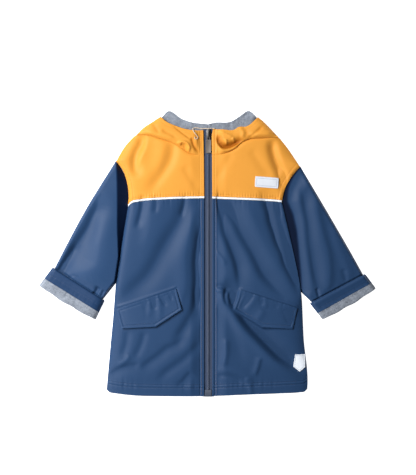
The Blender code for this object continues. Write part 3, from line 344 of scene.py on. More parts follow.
BACK_FOLDS = [
    ([(-120, 60), (-96, -40), (-110, -150)], 9, 14, 1.8),
    ([(-40, 90), (-30, 0), (-52, -90)], 8, 8, 1.3),
    ([(36, -30), (52, -120), (44, -220)], 12, 9, 1.7),
    ([(118, 70), (98, -20), (120, -110)], 8, 12, 1.5),
    ([(-70, -170), (-10, -200), (40, -190)], 9, 9, 1.1),
    ([(-90, 120), (-20, 150), (60, 140)], 8, 8, 1.2),
]

# ---------------------------------------------------------------- trims
FLAPS = {
    "right": {
        "top": [(-175.2, -105.3), (-60.6, -67.1)],
        "low": [(-164.4, -142.3), (-99.9, -139.1), (-49.8, -106.4)],
    },
    "left": {
        "top": [(169.5, -103.4), (61.4, -68.8)],
        "low": [(160.4, -143.6), (102.8, -140.0), (48.6, -106.8)],
    },
}
FLAP_FADE = 4.0  # stretch outside a flap in which the front's folds come back
FOLD_CALM = 0.7  # how much of them a flap's stiffness takes away
FLAP_LIFT = {"right": 3.0, "left": 1.5}
LABEL_CORNERS = [(88.0, 126.5), (132.6, 123.1), (133.9, 143.4), (89.1, 146.9)]
PATCH_TOP = [(164.9, -191.9), (184.0, -191.1)]
PATCH_LOW = [(161.5, -214.9), (173.5, -224.8), (184.3, -216.0)]
CORD_R = 0.8
CORD_ROUTE = [(13.5, 237.6), (4.0, 237.3), (-6.0, 237.2), (-16.0, 237.6), (-24.5, 239.0), (-29.3, 237.2),
              (-28.2, 232.4), (-25.2, 227.8), (-21.8, 223.6), (-19.8, 219.8), (-22.0, 217.0), (-25.2, 218.2),
              (-25.6, 221.4)]


# ---------------------------------------------------------------- lines and shares
def run_along(line):
    """Length along a line up to each of its points."""
    return np.concatenate([[0.0], np.cumsum(np.linalg.norm(np.diff(line, axis=0), axis=1))])


def at_shares(line, places):
    """Points at shares of a line's length, which runs straight between its points."""
    line = np.asarray(line, float)
    run = run_along(line)
    return np.column_stack([np.interp(np.asarray(places) * run[-1], run, line[:, k]) for k in (0, 1)])


def smooth(points, places):
    """Points of a smooth curve at the given shares of its length: a cubic between each two knots, whose
    slope at a knot is that of the two knots beside it."""
    if len(points) == 2:
        return at_shares(points, places)
    knots = np.array(points, float)
    run = run_along(knots)
    slope = np.gradient(knots, run, axis=0)
    at = np.asarray(places) * run[-1]
    k = np.clip(np.searchsorted(run, at, side="right") - 1, 0, len(run) - 2)
    h = (run[k + 1] - run[k])[:, None]
    t = (at - run[k])[:, None] / h
    return (
        (2 * t**3 - 3 * t**2 + 1) * knots[k]
        + (t**3 - 2 * t**2 + t) * h * slope[k]
        + (3 * t**2 - 2 * t**3) * knots[k + 1]
        + (t**3 - t**2) * h * slope[k + 1]
    )


def even(count):
    """Shares from 0 to 1 in even steps."""
    return np.linspace(0.0, 1.0, count + 1)


def crowded(length, step, start=(1.4, 1.0), end=(1.4, 1.0)):
    """Shares of a length, a step apart. The first and the last stretch have a reach and a finer step of
    their own, and the cloth's two edges, which round off, have four lines close together."""
    rim = np.array([0.0, 0.12, 0.4, 0.8, 1.4])
    marks = [0.0, 1.4, max(start[0], 1.4), length - max(end[0], 1.4), length - 1.4, length]
    runs = [rim, length - rim]
    for (low, high), fine in zip(zip(marks[1:4], marks[2:5]), (start[1], step, end[1])):
        runs.append(np.linspace(low, high, max(1, int(round((high - low) / fine))) + 1))
    return np.unique(np.round(np.concatenate(runs), 4)) / length


def joined(*runs):
    """Lines laid end to end, each starting at the last point of the one before."""
    return np.concatenate([runs[0]] + [run[1:] for run in runs[1:]])


def patch(low, high, start, end, u, v):
    """Plan grid between four edge lines: the sum of the two straight blends less the corners' blend."""
    u, v = u[None, :, None], v[:, None, None]
    across = (1 - u) * start[:, None] + u * end[:, None]
    along = (1 - v) * low[None] + v * high[None]
    corners = (1 - v) * ((1 - u) * low[0] + u * low[-1]) + v * ((1 - u) * high[0] + u * high[-1])
    return across + along - corners


def strip(low, high, u, v):
    """Plan grid between two edge lines, with straight ends."""
    return patch(low, high, at_shares([low[0], high[0]], v), at_shares([low[-1], high[-1]], v), u, v)


def unit(vectors):
    """The vectors at length 1."""
    return vectors / np.linalg.norm(vectors, axis=-1, keepdims=True)


def distance_to(line, plan):
    """Distance from each plan point to a line of straight stretches."""
    best = np.full(plan.shape[:-1], np.inf)
    for a, b in zip(line[:-1], line[1:]):
        run = b - a
        share = np.clip(((plan - a) @ run) / max(run @ run, 1e-9), 0, 1)
        best = np.minimum(best, np.linalg.norm(plan - a - share[..., None] * run, axis=-1))
    return best


def beside(line, plan):
    """Signed distance from a line, positive on its left, and the share of its length at the nearest place."""
    best = np.full(plan.shape[:-1], np.inf)
    side = np.ones(plan.shape[:-1])
    place = np.zeros(plan.shape[:-1])
    start = run_along(line)
    step = np.diff(start)
    for k, (a, b) in enumerate(zip(line[:-1], line[1:])):
        run = b - a
        share = ((plan - a) @ run) / max(run @ run, 1e-9)
        if k > 0:
            share = np.maximum(share, 0)
        if k < len(step) - 1:
            share = np.minimum(share, 1)
        away = plan - a - np.clip(share, 0, 1)[..., None] * run
        far = np.linalg.norm(away, axis=-1)
        nearer = far < best
        best = np.where(nearer, far, best)
        side = np.where(nearer, np.sign(run[0] * away[..., 1] - run[1] * away[..., 0]), side)
        place = np.where(nearer, (start[k] + share * step[k]) / start[-1], place)
    return best * side, place


def step_up(value, low, high):
    """0 below low, 1 above high, and an S-shaped rise between them: 3t^2 - 2t^3."""
    t = np.clip((value - low) / (high - low), 0, 1)
    return t * t * (3 - 2 * t)


def relief(plan, folds):
    """Sum of folds: each is exp(-(distance / reach)^sharpness), with a reach for each side of its path,
    and fades out at both ends of the path. The sharpness is 2 where a fold doesn't give it."""
    total = np.zeros(plan.shape[:-1])
    for path, left, right, height, *rest in folds:
        sharp = rest[0] if rest else 2
        line = smooth(path, even(3 * len(path)))
        side, place = beside(line, plan)
        reach = np.where(side > 0, left, right)
        fade = step_up(place, -0.1, 0.14) * (1 - step_up(place, 0.75, 1.1))
        total += height * fade * np.exp(-((np.abs(side) / reach) ** sharp))
    return total


def pucker(along, away, reach, size, phase):
    """Small uneven gathers beside a seam: three sine waves along it that die out away from it."""
    wave = (
        0.5 * np.sin(along / 1.45 + phase)
        + 0.35 * np.sin(along / 0.83 + 2.1 * phase)
        + 0.4 * np.sin(along / 3.1 + 0.7 * phase)
    )
    swell = 0.55 + 0.45 * np.sin(along / 11.0 + 1.7 * phase)
    return size * wave * swell * np.exp(-np.abs(away) / reach)


def ridge(away, width, height):
    """A bead along a line, as a bell curve of the distance from it."""
    return height * np.exp(-((away / width) ** 2))


def groove(away, width, depth):
    """The same, sunk."""
    return ridge(away, width, -depth)


# ---------------------------------------------------------------- meshes
def add_mesh(name, points, faces, material, marks=None):
    """A smooth mesh object from arrays of points in millimetres and of faces."""
    mesh = bpy.data.meshes.new(name)
    mesh.from_pydata((np.asarray(points) * MM).tolist(), [], np.asarray(faces).tolist())
    for mark, values in (marks or {}).items():
        attribute = mesh.attributes.new(mark, "FLOAT", "POINT")
        attribute.data.foreach_set("value", np.asarray(values, np.float32).ravel())
    mesh.shade_smooth()
    mesh.materials.append(material)
    obj = bpy.data.objects.new(name, mesh)
    bpy.context.scene.collection.objects.link(obj)
    return obj


def grid_faces(rows, cols, closed=False):
    """Four-sided faces of a grid of points, joined at its ends where it is closed."""
    r, c = np.meshgrid(np.arange(rows - 1), np.arange(cols if closed else cols - 1), indexing="ij")
    a = (r * cols + c).ravel()
    b = (r * cols + (c + 1) % cols).ravel()
    return np.stack([a, b, b + cols, a + cols], axis=1)


def slope_of(plan, top):
    """Slope of the height along x and y at each grid point, from the grid's own steps."""
    step_v, step_u = (np.stack(np.gradient(plan[..., k]), axis=-1) for k in (0, 1))
    rise = np.stack(np.gradient(top), axis=-1)
    det = step_v[..., 0] * step_u[..., 1] - step_v[..., 1] * step_u[..., 0]
    det = np.where(np.abs(det) < 1e-9, 1e-9, det)
    x = (rise[..., 0] * step_u[..., 1] - rise[..., 1] * step_u[..., 0]) / det
    y = (rise[..., 1] * step_v[..., 0] - rise[..., 0] * step_v[..., 1]) / det
    return x, y


def to_border(plan):
    """Distance from each grid point to the grid's border, measured along its rows and columns."""
    best = np.full(plan.shape[:2], np.inf)
    for axis in (0, 1):
        step = np.linalg.norm(np.diff(plan, axis=axis), axis=-1)
        pad = [(0, 0), (0, 0)]
        pad[axis] = (1, 0)
        run = np.pad(np.cumsum(step, axis=axis), pad)
        total = np.take(run, [-1], axis=axis)
        best = np.minimum(best, np.minimum(run, total - run))
    return best


def turns_up(plan):
    """True where a grid's faces, counted row by row, face up."""
    r, c = plan.shape[0] // 2, plan.shape[1] // 2
    du, dv = plan[r, c + 1] - plan[r, c], plan[r + 1, c] - plan[r, c]
    return du[0] * dv[1] - du[1] * dv[0] > 0


def rounding(inset, radius):
    """How far a face drops towards its edge to round it off: a quarter circle of that radius."""
    t = 1 - np.clip(inset / radius, 0, 1)
    return radius * (1 - np.sqrt(np.maximum(1 - t * t, 0)))


def shell(name, plan, top, cloth, lowest, material, crest=0.0, shade=0.0):
    """A sheet of cloth with a rounded edge: upper face `top`, lower face a cloth's thickness under it and
    never below `lowest`. Both meet in one line of points round the border."""
    rows, cols = top.shape
    grade = np.hypot(*slope_of(plan, top))
    low = np.maximum(top - cloth * np.sqrt(1 + np.minimum(grade, 1.2) ** 2), lowest)
    low = np.minimum(low, top - 0.5 * cloth)
    inset = to_border(plan)
    half = (top - low) / 2
    drop = rounding(inset, 0.5 * cloth) / (0.5 * cloth) * half
    upper, under = top - drop, low + drop
    count = rows * cols
    index = np.arange(count).reshape(rows, cols)
    inner = np.zeros((rows, cols), bool)
    inner[1:-1, 1:-1] = True
    second = index.copy()
    second[inner] = count + np.arange(inner.sum())
    points = np.concatenate([
        np.dstack([plan, upper]).reshape(-1, 3), np.dstack([plan, under])[inner]
    ])
    face = grid_faces(rows, cols)
    below = second.ravel()[face]
    if not turns_up(plan):
        face, below = face[:, ::-1], below[:, ::-1]
    marks = {}
    for mark, values in (("edge", np.exp(-inset / 1.6)), ("crest", crest), ("shade", shade)):
        values = np.broadcast_to(values, top.shape)
        marks[mark] = np.concatenate([values.ravel(), values[inner]])
    return add_mesh(name, points, np.concatenate([face, below[:, ::-1]]), material, marks)


def tube(name, plan, top, under, cloth, material, crest=0.0, shade=0.0):
    """A flattened tube, open at both ends: over the top, round a crease, back below and round the other.

    A crease is a half ellipse as high as the tube is there. The inner face is a cloth's thickness inside.
    """
    rows, cols = top.shape
    out_first, out_last = unit(plan[:, 0] - plan[:, 1]), unit(plan[:, -1] - plan[:, -2])
    bends = 5
    turn = (np.arange(bends) + 1) / (bends + 1) * math.pi

    def crease(edge, out, high, low):
        middle, half = (high + low) / 2, (high - low) / 2
        reach = np.maximum(half * 0.75, 0.2)
        flat = edge[:, None] + out[:, None] * (reach[:, None] * np.sin(turn))[..., None]
        return np.dstack([flat, middle[:, None] + half[:, None] * np.cos(turn)])

    def ring(inset, high, low):
        share = np.linspace(0, 1, cols)[None, :, None]
        flat = plan - inset * ((1 - share) * out_first[:, None] + share * out_last[:, None])
        over, below = np.dstack([flat, high]), np.dstack([flat, low])[:, ::-1]
        last = crease(flat[:, -1], out_last, high[:, -1], low[:, -1])
        first = crease(flat[:, 0], out_first, high[:, 0], low[:, 0])[:, ::-1]
        return np.concatenate([over, last, below, first], axis=1)

    outer, inner = ring(0.0, top, under), ring(cloth, top - cloth, under + cloth)
    around = outer.shape[1]
    count = rows * around
    faces = grid_faces(rows, around, closed=True)
    ends = []
    for row, flip in ((0, True), (rows - 1, False)):
        a = row * around + np.arange(around)
        b = np.roll(a, -1)
        end = np.stack([a, b, b + count, a + count], axis=1)
        ends.append(end[:, ::-1] if flip else end)
    faces = np.concatenate([faces, faces[:, ::-1] + count, *ends])
    faces = faces if turns_up(plan) else faces[:, ::-1]
    marks = {}
    for mark, values in (("crest", crest), ("shade", shade)):
        full = np.zeros((rows, around))
        full[:, :cols] = values
        marks[mark] = np.concatenate([full, full]).ravel()
    points = np.concatenate([outer.reshape(-1, 3), inner.reshape(-1, 3)])
    return add_mesh(name, points, faces, material, marks)


def stitches(name, runs, material, length, gap, thick):
    """Topstitching as one mesh: short capsules laid end to end along lines of 3-D points, half sunk.

    Each run is a line and a surface normal for each of its points. A capsule is a ring of six points
    carried over five stations that taper at both ends, and it dips into the cloth there.
    """
    stations = np.array([-0.5, -0.4, 0.0, 0.4, 0.5])
    widths = np.array([0.25, 0.8, 1.0, 0.8, 0.25])
    dips = np.array([-0.55, -0.15, 0.18, -0.15, -0.55])
    around = 6
    turn = np.arange(around) * 2 * math.pi / around
    size = len(stations) * around
    face = grid_faces(len(stations), around, closed=True)
    caps = np.array([[0, 1, 2, 3], [0, 3, 4, 5]])
    face = np.concatenate([face[:, ::-1], caps, caps[:, ::-1] + size - around])
    points, faces = [], []
    first = 0
    for line, normal in runs:
        run = run_along(line)
        at = np.arange(0.5 * (length + gap), run[-1] - 0.3 * length, length + gap)
        if not len(at):
            continue
        along = at[:, None] + stations[None] * length
        centre = np.stack([np.interp(along, run, line[:, k]) for k in range(3)], axis=-1)
        up = unit(np.stack([np.interp(along, run, normal[:, k]) for k in range(3)], axis=-1))
        ahead = unit(centre[:, -1:] - centre[:, :1]) + np.zeros_like(centre)
        across = unit(np.cross(ahead, up))
        centre = centre + up * (dips * thick)[None, :, None]
        ring = (
            across[:, :, None] * np.cos(turn)[None, None, :, None]
            + up[:, :, None] * np.sin(turn)[None, None, :, None]
        ) * (0.5 * thick * widths)[None, :, None, None]
        points.append((centre[:, :, None] + ring).reshape(-1, 3))
        faces.append((face[None] + first + np.arange(len(at))[:, None, None] * size).reshape(-1, 4))
        first += len(at) * size
    return add_mesh(name, np.concatenate(points), np.concatenate(faces)[:, ::-1], material)


def laid(line, height):
    """A plan line as 3-D points on a height function, and the surface's normals there."""
    step = 0.6
    dx, dy = ((height(line + away) - height(line - away)) / (2 * step) for away in step * np.eye(2))
    return np.column_stack([line, height(line)]), unit(np.column_stack([-dx, -dy, np.ones(len(line))]))


def upright(line):
    """A line of 3-D points, with a normal straight up at each of them."""
    return line, np.tile([0.0, 0.0, 1.0], (len(line), 1))


def offset_line(line, away):
    """A plan line moved sideways, to its left where `away` is positive."""
    ahead = unit(np.gradient(line, axis=0))
    return line + away * np.column_stack([-ahead[:, 1], ahead[:, 0]])


def settle(obj, node, body=COAT):
    """Puts a finished piece in place of its CAD node, which it hides, and on its body."""
    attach(obj, body)
    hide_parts(node)


def trim(obj, body=COAT):
    """Puts a piece that stands for no node of its own on its body."""
    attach(obj, body)


def sew(name, runs, thread, size=None):
    """Topstitching along the runs. Its stitch, gap and thickness are the cloth's if no others are given."""
    cloth = bpy.context.scene.raincoat_cloth
    size = size or (cloth.stitch_length, cloth.stitch_gap, cloth.thread)
    trim(stitches(name, runs, material_of(thread), *size))


# ---------------------------------------------------------------- heights
def tape_under(y):
    """Underside of the zip's tape, which climbs evenly from the hem to the neck."""
    return TAPE_LOW + (TAPE_HIGH - TAPE_LOW) * (y - ZIP_BOTTOM) / (ZIP_TOP - ZIP_BOTTOM)


def zip_edge(y):
    """Upper face of a front along the zip: a seam gap and a cloth over the tape."""
    return tape_under(y) + TAPE_CLOTH + SEAM_GAP + FRONT_CLOTH


def over_sleeve(side, y):
    """Share to which a front's outer edge lies on its sleeve."""
    sleeve_leaves = LINES[side]["side"][SIDE_AT_SLEEVE][1]
    shoulder = LINES[side]["shoulder"][-1][1]
    climbed = step_up(y - sleeve_leaves, *CLIMB)
    return climbed * (1 - step_up(y - shoulder, 0.0, DESCENT))


def front_edge(side, y):
    """Upper face of a front's outer edge: low on the back, and high where it lies on its sleeve."""
    return LOW_EDGE + (HIGH_EDGE[side] - LOW_EDGE) * over_sleeve(side, y)


def on_flap(side, plan):
    """1 on a pocket flap, falling to 0 a little outside it."""
    flap = FLAPS[side]
    corners = np.array(flap["top"] + flap["low"][::-1], float)
    middle = corners.mean(axis=0)
    outside = np.full(plan.shape[:-1], -np.inf)
    for a, b in zip(corners, np.roll(corners, -1, axis=0)):
        out = unit(np.array([b[1] - a[1], a[0] - b[0]]))
        out = out * np.sign((a - middle) @ out)
        outside = np.maximum(outside, (plan - a) @ out)
    return 1 - step_up(outside, 0.0, FLAP_FADE)


def seam_y(side, x):
    """Height on the chart of the yoke seam at each x."""
    line = smooth(LINES[side]["piping"], even(40))
    order = np.argsort(line[:, 0])
    return np.interp(x, line[order, 0], line[order, 1])


def front_top(side, plan, fine=True):
    """Upper face of a front: it rolls up from its outer edge over its folds to a level placket.

    The fine part adds the placket's welt, the hem's fold and the gathers beside the seams.
    """
    lines = LINES[side]
    outer = joined(*(smooth(lines[name][::turn], even(12)) for name, turn in OUTER_RUNS))
    x, y = plan[..., 0], plan[..., 1]
    edge = front_edge(side, y)
    from_outer = distance_to(outer, plan)
    roll = SIDE_ROLL[side] + (ROLL_ON_SLEEVE[side] - SIDE_ROLL[side]) * over_sleeve(side, y)
    rise = 1 - np.exp(-from_outer / roll)
    full = BODY_RISE * (1 - HEM_THIN * (1 - step_up(y, *HEM_BAND)))
    from_zip = np.abs(x) - abs(lines["zip_x"])
    away = step_up(from_zip, PLACKET_LEVEL, PLACKET)
    folds = relief(plan, FRONT_FOLDS[side]) * (1 - FOLD_CALM * on_flap(side, plan))
    folds = folds * (1 - np.exp(-from_outer / FOLD_ROLL)) * step_up(from_zip, PLACKET_LEVEL, PLACKET_FOLDS)
    top = zip_edge(y) * (1 - away) + (edge + (full - edge) * rise) * away + folds
    under_hood = np.exp(-distance_to(smooth(lines["hood_seam"], even(20)), plan) / NECK_SINK) * away
    floor = edge + (np.minimum(edge, LOW_FLOOR) - edge) * step_up(from_outer, *ROOT_WIDTH)
    top = np.maximum(top + (YOKE_AT_NECK - top) * under_hood, floor)
    if fine:
        top = top + seams_of_front(side, x, y, plan, from_zip, rise)
    return top


def welt(away, width, height):
    """A fold of cloth along a seam: full height up to its far edge, where it steps down."""
    return height * step_up(away, -0.5, 1.0) * (1 - step_up(away, width - 0.8, width + 0.8))


def seams_of_front(side, x, y, plan, from_zip, rise):
    """Small relief beside the seams of a front: placket, hem, yoke seam, armhole and pocket opening."""
    lines = LINES[side]
    hem = np.array(lines["hem"], float)
    order = np.argsort(hem[:, 0])
    from_hem = y - np.interp(x, hem[order, 0], hem[order, 1])
    from_seam = y - seam_y(side, x)
    on_yoke = from_seam > 0
    off_zip = step_up(from_zip, 4, 12)

    firm = np.where(on_yoke, 0.3, 1.0)
    placket = firm * (welt(from_zip, PLACKET_WELT, 0.3) + groove(from_zip - PLACKET_GROOVE[side], 1.3, 1.1))
    if side == "left":
        rope = np.sin((y + 1.3 * from_zip) * 2 * math.pi / ROPE_PITCH)
        placket = placket + firm * rope * ridge(from_zip - 4.0, 1.6, 0.8)
    else:
        placket = placket + pucker(y, from_zip - 5.0, 3.0, 0.3, 1.0) * firm

    hem_seam = groove(from_hem - HEM_STITCH[0], 1.2, 0.7) + groove(from_hem - HEM_STITCH[1], 1.3, 0.9)
    total = placket + hem_seam + welt(from_hem + 1.0, HEM_STITCH[1] + 3.0, 0.6)
    gathered = 0.6 + 0.7 * np.exp(-from_zip / 45.0)
    hem_wave = pucker(0.55 * x, from_hem - 19.0, 8.0, 0.7, 2.0) + pucker(x, from_hem - 18.0, 6.0, 0.4, 2.0)
    total = total + hem_wave * gathered * off_zip
    stitched = np.where(on_yoke, groove(from_seam - YOKE_STITCH, 1.0, 0.5), 0.0)
    notches = 0.24 * np.sin(x * 2 * math.pi / NOTCH_PITCH) * (0.75 + 0.4 * np.sin(x / 9.0))
    notches = (notches + pucker(x, 0.0, 4.0, 0.4, 3.0)) * ridge(from_seam - YOKE_STITCH, 5.5, 1.0)
    gathers = np.where(on_yoke, notches, pucker(x, from_seam, 8.0, 0.7, 5.0))
    from_arm = distance_to(smooth(lines["armhole"], even(16)), plan)
    arm = groove(from_arm - ARM_STITCH, 1.0, 0.35) + ridge(from_arm - 4.5, 2.6, 0.35)
    arm = arm + pucker(y, from_arm - 3.0, 6.0, 0.45, 4.0)
    total = total + stitched + gathers * off_zip + np.where(on_yoke, arm, 0.0) * rise
    return total + pocket_welt(side, plan)


def pocket_welt(side, plan):
    """The raised edge of a pocket opening just above its flap, and the dent of its seam."""
    line = np.array(FLAPS[side]["top"], float)
    away, place = beside(line, plan)
    away = -SIDES[side] * away
    within = step_up(place, -0.02, 0.03) * (1 - step_up(place, 0.97, 1.02))
    return within * (ridge(away - 3.2, 1.7, 1.1) + groove(away - 0.4, 1.0, 0.5))


# ---------------------------------------------------------------- materials
def new_group(name, inputs, outputs):
    """A shader node group with named sockets; returns its tree, its input node and its output node."""
    tree = bpy.data.node_groups.new(name, "ShaderNodeTree")
    for label, kind, value in inputs:
        socket = tree.interface.new_socket(label, in_out="INPUT", socket_type=kind)
        socket.default_value = value
    for label, kind in outputs:
        tree.interface.new_socket(label, in_out="OUTPUT", socket_type=kind)
    return tree, tree.nodes.new("NodeGroupInput"), tree.nodes.new("NodeGroupOutput")


def feed(tree, made, inputs):
    """Feeds inputs of a node, each with a value or from another node's socket."""
    for key, value in inputs.items():
        if isinstance(value, bpy.types.NodeSocket):
            tree.links.new(value, made.inputs[key])
        else:
            made.inputs[key].default_value = value


def node(tree, kind, inputs=None, **settings):
    """Adds a node, sets its properties and feeds its inputs."""
    made = tree.nodes.new("ShaderNode" + kind)
    for key, value in settings.items():
        setattr(made, key, value)
    feed(tree, made, inputs or {})
    return made


def maths(tree, operation, a, b=0.0, clamp=False):
    """One sum of a shader, of numbers or sockets."""
    return node(tree, "Math", {0: a, 1: b}, operation=operation, use_clamp=clamp).outputs[0]


def added(tree, a, b):
    """a + b"""
    return maths(tree, "ADD", a, b)


def times(tree, a, b):
    """a * b"""
    return maths(tree, "MULTIPLY", a, b)


def sine(tree, angle):
    """Sine of an angle in radians."""
    return maths(tree, "SINE", angle)


def mix(tree, share, a, b):
    """Colour a turning into colour b; 6 and 7 are the colour inputs of the Mix node."""
    return node(tree, "Mix", {"Factor": share, 6: a, 7: b}, data_type="RGBA").outputs[2]


def noise(tree, coords, scale, detail=2.0, rough=0.5):
    """Cloudy values between 0 and 1."""
    inputs = {"Vector": coords, "Scale": scale, "Detail": detail, "Roughness": rough}
    return node(tree, "TexNoise", inputs).outputs[0]


def toned(tree, value, colour):
    """A colour made darker or paler."""
    return node(tree, "HueSaturation", {"Value": value, "Color": colour}).outputs[0]


def make_cloth_tone():
    """Colour of worn cloth: slow mottling, paler worn edges, a painted highlight on fold crests and painted
    shade in fold troughs, and painted shade, darker and deeper in colour, where the cloth is tucked away."""
    tree, start, end = new_group(
        "Cloth Tone",
        [("Colour", "NodeSocketColor", (0.5, 0.5, 0.5, 1)), ("Mottle", "NodeSocketFloat", 0.06),
         ("Painted Fold Light", "NodeSocketFloat", 0.1), ("Edge Wear", "NodeSocketFloat", 0.1)],
        [("Colour", "NodeSocketColor"), ("Unevenness", "NodeSocketFloat")],
    )
    coords = node(tree, "TexCoord").outputs["Object"]
    slow = noise(tree, coords, 14.0, 3.0)
    quick = noise(tree, coords, 160.0, 2.0)
    both = added(tree, times(tree, slow, 0.7), times(tree, quick, 0.3))
    shift = times(tree, maths(tree, "SUBTRACT", both, 0.5), start.outputs["Mottle"])
    # painted light along the folds: a painted highlight where the crest mark is high, painted shade where it
    # is low
    crest = node(tree, "Attribute", attribute_name="crest").outputs["Fac"]
    edge = node(tree, "Attribute", attribute_name="edge").outputs["Fac"]
    lift = times(tree, crest, start.outputs["Painted Fold Light"])
    worn = times(tree, times(tree, edge, quick), start.outputs["Edge Wear"])
    value = added(tree, added(tree, shift, lift), added(tree, worn, 1.0))
    # painted shade where the shade mark is set: the colour made darker, and deeper through the gamma
    shade = node(tree, "Attribute", attribute_name="shade").outputs["Fac"]
    value = times(tree, value, maths(tree, "SUBTRACT", 1.0, times(tree, shade, 0.8)))
    power = added(tree, shade, 1.0)
    deep = node(tree, "Gamma", {"Color": start.outputs["Colour"], "Gamma": power}).outputs[0]
    feed(tree, end, {"Colour": toned(tree, value, deep), "Unevenness": both})
    return tree


def make_grain():
    """Height of a coated cloth's face: a fine leathery grain over slow ripples."""
    tree, start, end = new_group(
        "Coated Grain",
        [("Grain Size", "NodeSocketFloat", 1300.0), ("Ripple Share", "NodeSocketFloat", 0.5)],
        [("Height", "NodeSocketFloat")],
    )
    coords = node(tree, "TexCoord").outputs["Object"]
    grain = noise(tree, coords, start.outputs["Grain Size"], 2.0, 0.6)
    ripple = noise(tree, coords, 220.0, 3.0, 0.55)
    both = added(tree, grain, times(tree, ripple, start.outputs["Ripple Share"]))
    feed(tree, end, {"Height": both})
    return tree


def make_knit():
    """Jersey: slanted loops in columns, and pale and dark fibres that run through them."""
    tree, start, end = new_group(
        "Jersey Knit",
        [("Pale", "NodeSocketColor", (0.5, 0.5, 0.5, 1)), ("Dark", "NodeSocketColor", (0.2, 0.2, 0.2, 1)),
         ("Columns per Metre", "NodeSocketFloat", 700.0)],
        [("Colour", "NodeSocketColor"), ("Height", "NodeSocketFloat")],
    )
    coords = node(tree, "TexCoord").outputs["Object"]
    parts = node(tree, "SeparateXYZ", {0: coords})
    count = start.outputs["Columns per Metre"]
    x = times(tree, parts.outputs["X"], count)
    y = times(tree, parts.outputs["Y"], times(tree, count, 1.25))
    column = maths(tree, "PINGPONG", x, 0.5)
    row = added(tree, y, times(tree, column, 1.1))
    wave = sine(tree, times(tree, row, 2 * math.pi))
    rib = sine(tree, times(tree, column, 2 * math.pi))
    loop = added(tree, times(tree, wave, 0.35), times(tree, rib, 0.5))
    stretched = node(tree, "Mapping", {"Vector": coords, "Scale": (1.0, 0.22, 1.0)}).outputs[0]
    fibre = noise(tree, stretched, 1500.0, 4.0, 0.65)
    cloud = noise(tree, coords, 120.0, 3.0, 0.6)
    share = added(tree, times(tree, maths(tree, "SUBTRACT", fibre, 0.5), 2.4), cloud)
    share = maths(tree, "ADD", share, times(tree, loop, 0.12), clamp=True)
    colour = mix(tree, share, start.outputs["Dark"], start.outputs["Pale"])
    feed(tree, end, {"Colour": colour, "Height": added(tree, loop, fibre)})
    return tree


def make_weave():
    """A plain weave: threads along x and y that rise and dip in turn."""
    tree, start, end = new_group(
        "Woven Threads",
        [("Colour", "NodeSocketColor", (0.1, 0.1, 0.1, 1)), ("Threads per Metre", "NodeSocketFloat", 1200.0),
         ("Contrast", "NodeSocketFloat", 0.3)],
        [("Colour", "NodeSocketColor"), ("Height", "NodeSocketFloat")],
    )
    coords = node(tree, "TexCoord").outputs["Object"]
    parts = node(tree, "SeparateXYZ", {0: coords})
    turn = times(tree, start.outputs["Threads per Metre"], math.pi)
    across = sine(tree, times(tree, parts.outputs["X"], turn))
    along = sine(tree, times(tree, parts.outputs["Y"], turn))
    height = times(tree, across, along)
    speck = maths(tree, "SUBTRACT", noise(tree, coords, 700.0, 2.0), 0.5)
    value = added(tree, times(tree, height, 0.5), times(tree, speck, 1.6))
    value = added(tree, 1.0, times(tree, value, start.outputs["Contrast"]))
    feed(tree, end, {"Colour": toned(tree, value, start.outputs["Colour"]), "Height": height})
    return tree


def make_scuffs():
    """Fine scratches and dull spots on metal or moulded plastic."""
    tree, start, end = new_group(
        "Fine Scuffs",
        [("Colour", "NodeSocketColor", (0.3, 0.3, 0.3, 1)), ("Dullness", "NodeSocketFloat", 0.4)],
        [("Colour", "NodeSocketColor"), ("Roughness", "NodeSocketFloat"), ("Height", "NodeSocketFloat")],
    )
    coords = node(tree, "TexCoord").outputs["Object"]
    drawn = node(tree, "Mapping", {"Vector": coords, "Scale": (1.0, 0.08, 1.0)}).outputs[0]
    lines = noise(tree, drawn, 6000.0, 3.0, 0.6)
    spots = noise(tree, coords, 900.0, 3.0, 0.6)
    value = added(tree, 0.75, times(tree, spots, 0.5))
    colour = toned(tree, value, start.outputs["Colour"])
    rough = added(tree, start.outputs["Dullness"], times(tree, lines, 0.16))
    feed(tree, end, {"Colour": colour, "Roughness": rough, "Height": lines})
    return tree


GROUPS = {
    "Cloth Tone": make_cloth_tone, "Coated Grain": make_grain, "Jersey Knit": make_knit,
    "Woven Threads": make_weave, "Fine Scuffs": make_scuffs,
}


def place_group(tree, name, inputs):
    """Puts a shared group into a material with its own values, and makes the group the first time."""
    shared = bpy.data.node_groups.get(name) or GROUPS[name]()
    made = tree.nodes.new("ShaderNodeGroup")
    made.node_tree = shared
    feed(tree, made, inputs)
    return made


def new_material(name, sockets):
    """A Principled material; `sockets` are values on the shader itself."""
    material = bpy.data.materials.new(name)
    material.use_nodes = True
    tree = material.node_tree
    shader = tree.nodes["Principled BSDF"]
    feed(tree, shader, sockets)
    return material, tree, shader


def rgba(colour):
    """A colour with full cover."""
    return (*colour[:3], 1.0)


def bump(tree, shader, height, distance, strength):
    """Fine relief on a shader; the distance is in millimetres."""
    made = node(tree, "Bump", {"Height": height, "Distance": distance * MM, "Strength": strength})
    feed(tree, shader, {"Normal": made.outputs[0]})


def coated(name, colour, roughness, tint):
    """Coated cloth: a smooth satin face with a fine grain."""
    material, tree, shader = new_material(name, {"Specular IOR Level": 0.14, "Specular Tint": rgba(tint)})
    tone = place_group(tree, "Cloth Tone", {
        "Colour": rgba(colour), "Mottle": 0.06, "Painted Fold Light": 0.04, "Edge Wear": 0.1,
    })
    grain = place_group(tree, "Coated Grain", {"Grain Size": 1300.0, "Ripple Share": 0.6})
    rough = added(tree, roughness - 0.06, times(tree, tone.outputs["Unevenness"], 0.12))
    feed(tree, shader, {"Base Color": tone.outputs["Colour"], "Roughness": rough})
    bump(tree, shader, grain.outputs["Height"], 0.05, 0.7)
    return material


